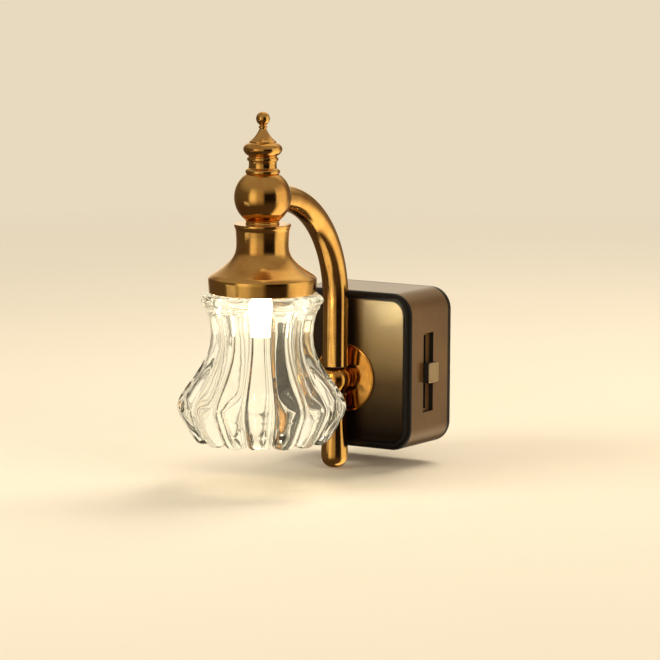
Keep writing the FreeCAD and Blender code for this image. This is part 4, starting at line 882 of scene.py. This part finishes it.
# %% Surround that mirrors see
world = bpy.data.worlds.new("surround")
world.use_nodes = True
bpy.context.scene.world = world
surround = Tree(world.node_tree)
direction = surround.node("ShaderNodeTexCoord")
height = surround.part(direction, "Z")
around = surround.node("ShaderNodeTexGradient", {"gradient_type": "RADIAL"}, {0: direction}, output="Fac")
flags = surround.ramp(
    around, (0.09, (0.11, 0.085, 0.055)), (0.175, (0.13, 0.10, 0.06)), (0.205, (1.1, 0.97, 0.66)),
    (0.250, (1.0, 0.88, 0.60)), (0.285, (0.48, 0.40, 0.25)), (0.340, (0.40, 0.33, 0.21)),
    (0.366, (0.012, 0.008, 0.006)), (0.492, (0.012, 0.008, 0.006)), (0.512, (0.98, 0.88, 0.62)),
    (0.635, (1.05, 0.94, 0.66)), (0.68, (0.26, 0.20, 0.13)), (0.78, (0.14, 0.11, 0.07)),
    (0.82, (1.1, 0.98, 0.74)), (0.86, (1.1, 0.98, 0.74)), (0.92, (0.12, 0.09, 0.06)))
ceiling = surround.ramp(
    around, (0.66, (0.36, 0.31, 0.24)), (0.74, (0.92, 0.80, 0.56)), (0.87, (0.92, 0.80, 0.56)),
    (0.93, (0.34, 0.29, 0.22)))
ground = surround.ramp(
    around, (0.50, (0.08, 0.055, 0.035)), (0.56, (1.45, 1.28, 0.86)), (0.70, (1.45, 1.28, 0.86)),
    (0.76, (0.08, 0.055, 0.035)))
above = surround.ramp(height, (0.25, (0.0, 0.0, 0.0)), (0.62, (1.0, 1.0, 1.0)))
below = surround.ramp(0.0 - height, (0.12, (0.0, 0.0, 0.0)), (0.50, (1.0, 1.0, 1.0)))
mirrored = surround.mixed(below, surround.mixed(above, flags, ceiling), ground)
print("the metal mirrors", len(flags.socket.node.color_ramp.elements), "tones round the lamp")

# %% [markdown]
# ## What the glass and the camera see
# Clear glass shows only what it bends, and over plain paper it would all but vanish. So glass sees the
# pale paper with a few dark slats in it, which draw its columns. The camera sees plain pale paper, and
# all other rays a soft light. A rough glass ray counts as a mirror ray too, so glass is mixed in last.

# %% Surround that glass and camera see
PAPER, SLAT = (1.10, 0.98, 0.72), (0.24, 0.19, 0.15)
slats = surround.ramp(
    around, (0.680, PAPER), (0.692, SLAT), (0.704, PAPER), (0.750, PAPER), (0.756, (0.45, 0.38, 0.31)),
    (0.762, PAPER), (0.895, PAPER), (0.901, (0.40, 0.34, 0.28)), (0.907, PAPER), (0.925, PAPER),
    (0.940, SLAT), (0.955, PAPER))


def screen(colour, strength=1.0):
    return surround.node("ShaderNodeBackground", {}, {"Color": colour, "Strength": strength})


whole = screen((1.0, 0.93, 0.82, 1.0), 0.42)
for ray, colour in (("Is Camera Ray", BACKDROP), ("Is Glossy Ray", mirrored), ("Is Transmission Ray", slats)):
    seen = surround.node("ShaderNodeLightPath", output=ray)
    whole = surround.node("ShaderNodeMixShader", {}, {0: seen, 1: whole, 2: screen(colour)})
surround.show(whole, "World Output")
bpy.context.scene.view_settings.view_transform = "Standard"
print("surround set:", len(world.node_tree.nodes), "nodes")

# %% [markdown]
# ## Softboxes
# Three softboxes light the lamp: a key high at the front left, a fill at the right and one from behind
# for the rims. Camera, mirrors and glass don't see them, so they add no hard white shapes to the metal.

# %% Softboxes
AIM = Vector((0.0, -0.05, 0.02))


def softbox(name, place, width, height, watts, colour):
    light = bpy.data.lights.new(name, "AREA")
    light.shape, light.size, light.size_y = "RECTANGLE", width, height
    light.energy, light.color = watts, colour
    lamp = linked(name, light)
    lamp.location = place
    lamp.rotation_mode = "QUATERNION"
    lamp.rotation_quaternion = (AIM - Vector(place)).to_track_quat("-Z", "Y")
    lamp.visible_camera = lamp.visible_glossy = lamp.visible_transmission = False
    print(name, watts, "W")


softbox("key_box", (-0.42, -0.70, 0.42), 0.5, 0.5, 5.0, (1.0, 0.93, 0.82))
softbox("fill_box", (0.95, -0.45, 0.30), 0.5, 0.7, 5.0, (1.0, 0.90, 0.74))
softbox("back_box", (0.10, 0.55, 0.75), 0.6, 0.3, 7.0, (1.0, 0.90, 0.74))

# %% [markdown]
# ## A card for the panel
# Seen from the camera, the glossy panel mirrors what stands low at the front left. A small card hangs
# there, bright at its top and dark at its foot, so that the panel's reflection fades downwards. It gives
# the lamp no light and no shadow, and the camera doesn't see it.

# %% Mirror card
card_finish = Finish("mirror_card", Emission_Strength=0.9, Base_Color=(0.0, 0.0, 0.0, 1.0))
card_finish.feed(Emission_Color=card_finish.ramp(
    card_finish.between("Z", -80.0, 20.0), (0.0, (0.03, 0.02, 0.012)), (0.75, (1.0, 0.93, 0.74))))
card_shape = bmesh.new()
bmesh.ops.create_grid(card_shape, x_segments=1, y_segments=1, size=0.5)
upright_card = Matrix.Diagonal((0.14, 1.0, 0.085, 1.0)) @ TIPPED_FORWARD
card = as_object(moved(card_shape, -165, -300, -47, upright_card), "mirror_card", card_finish.material)
card.visible_camera = card.visible_diffuse = card.visible_shadow = False
print("mirror card", [round(side / MM) for side in card.dimensions], "mm")

# %% [markdown]
# The dressed lamp has to stay inside the box of its solids.
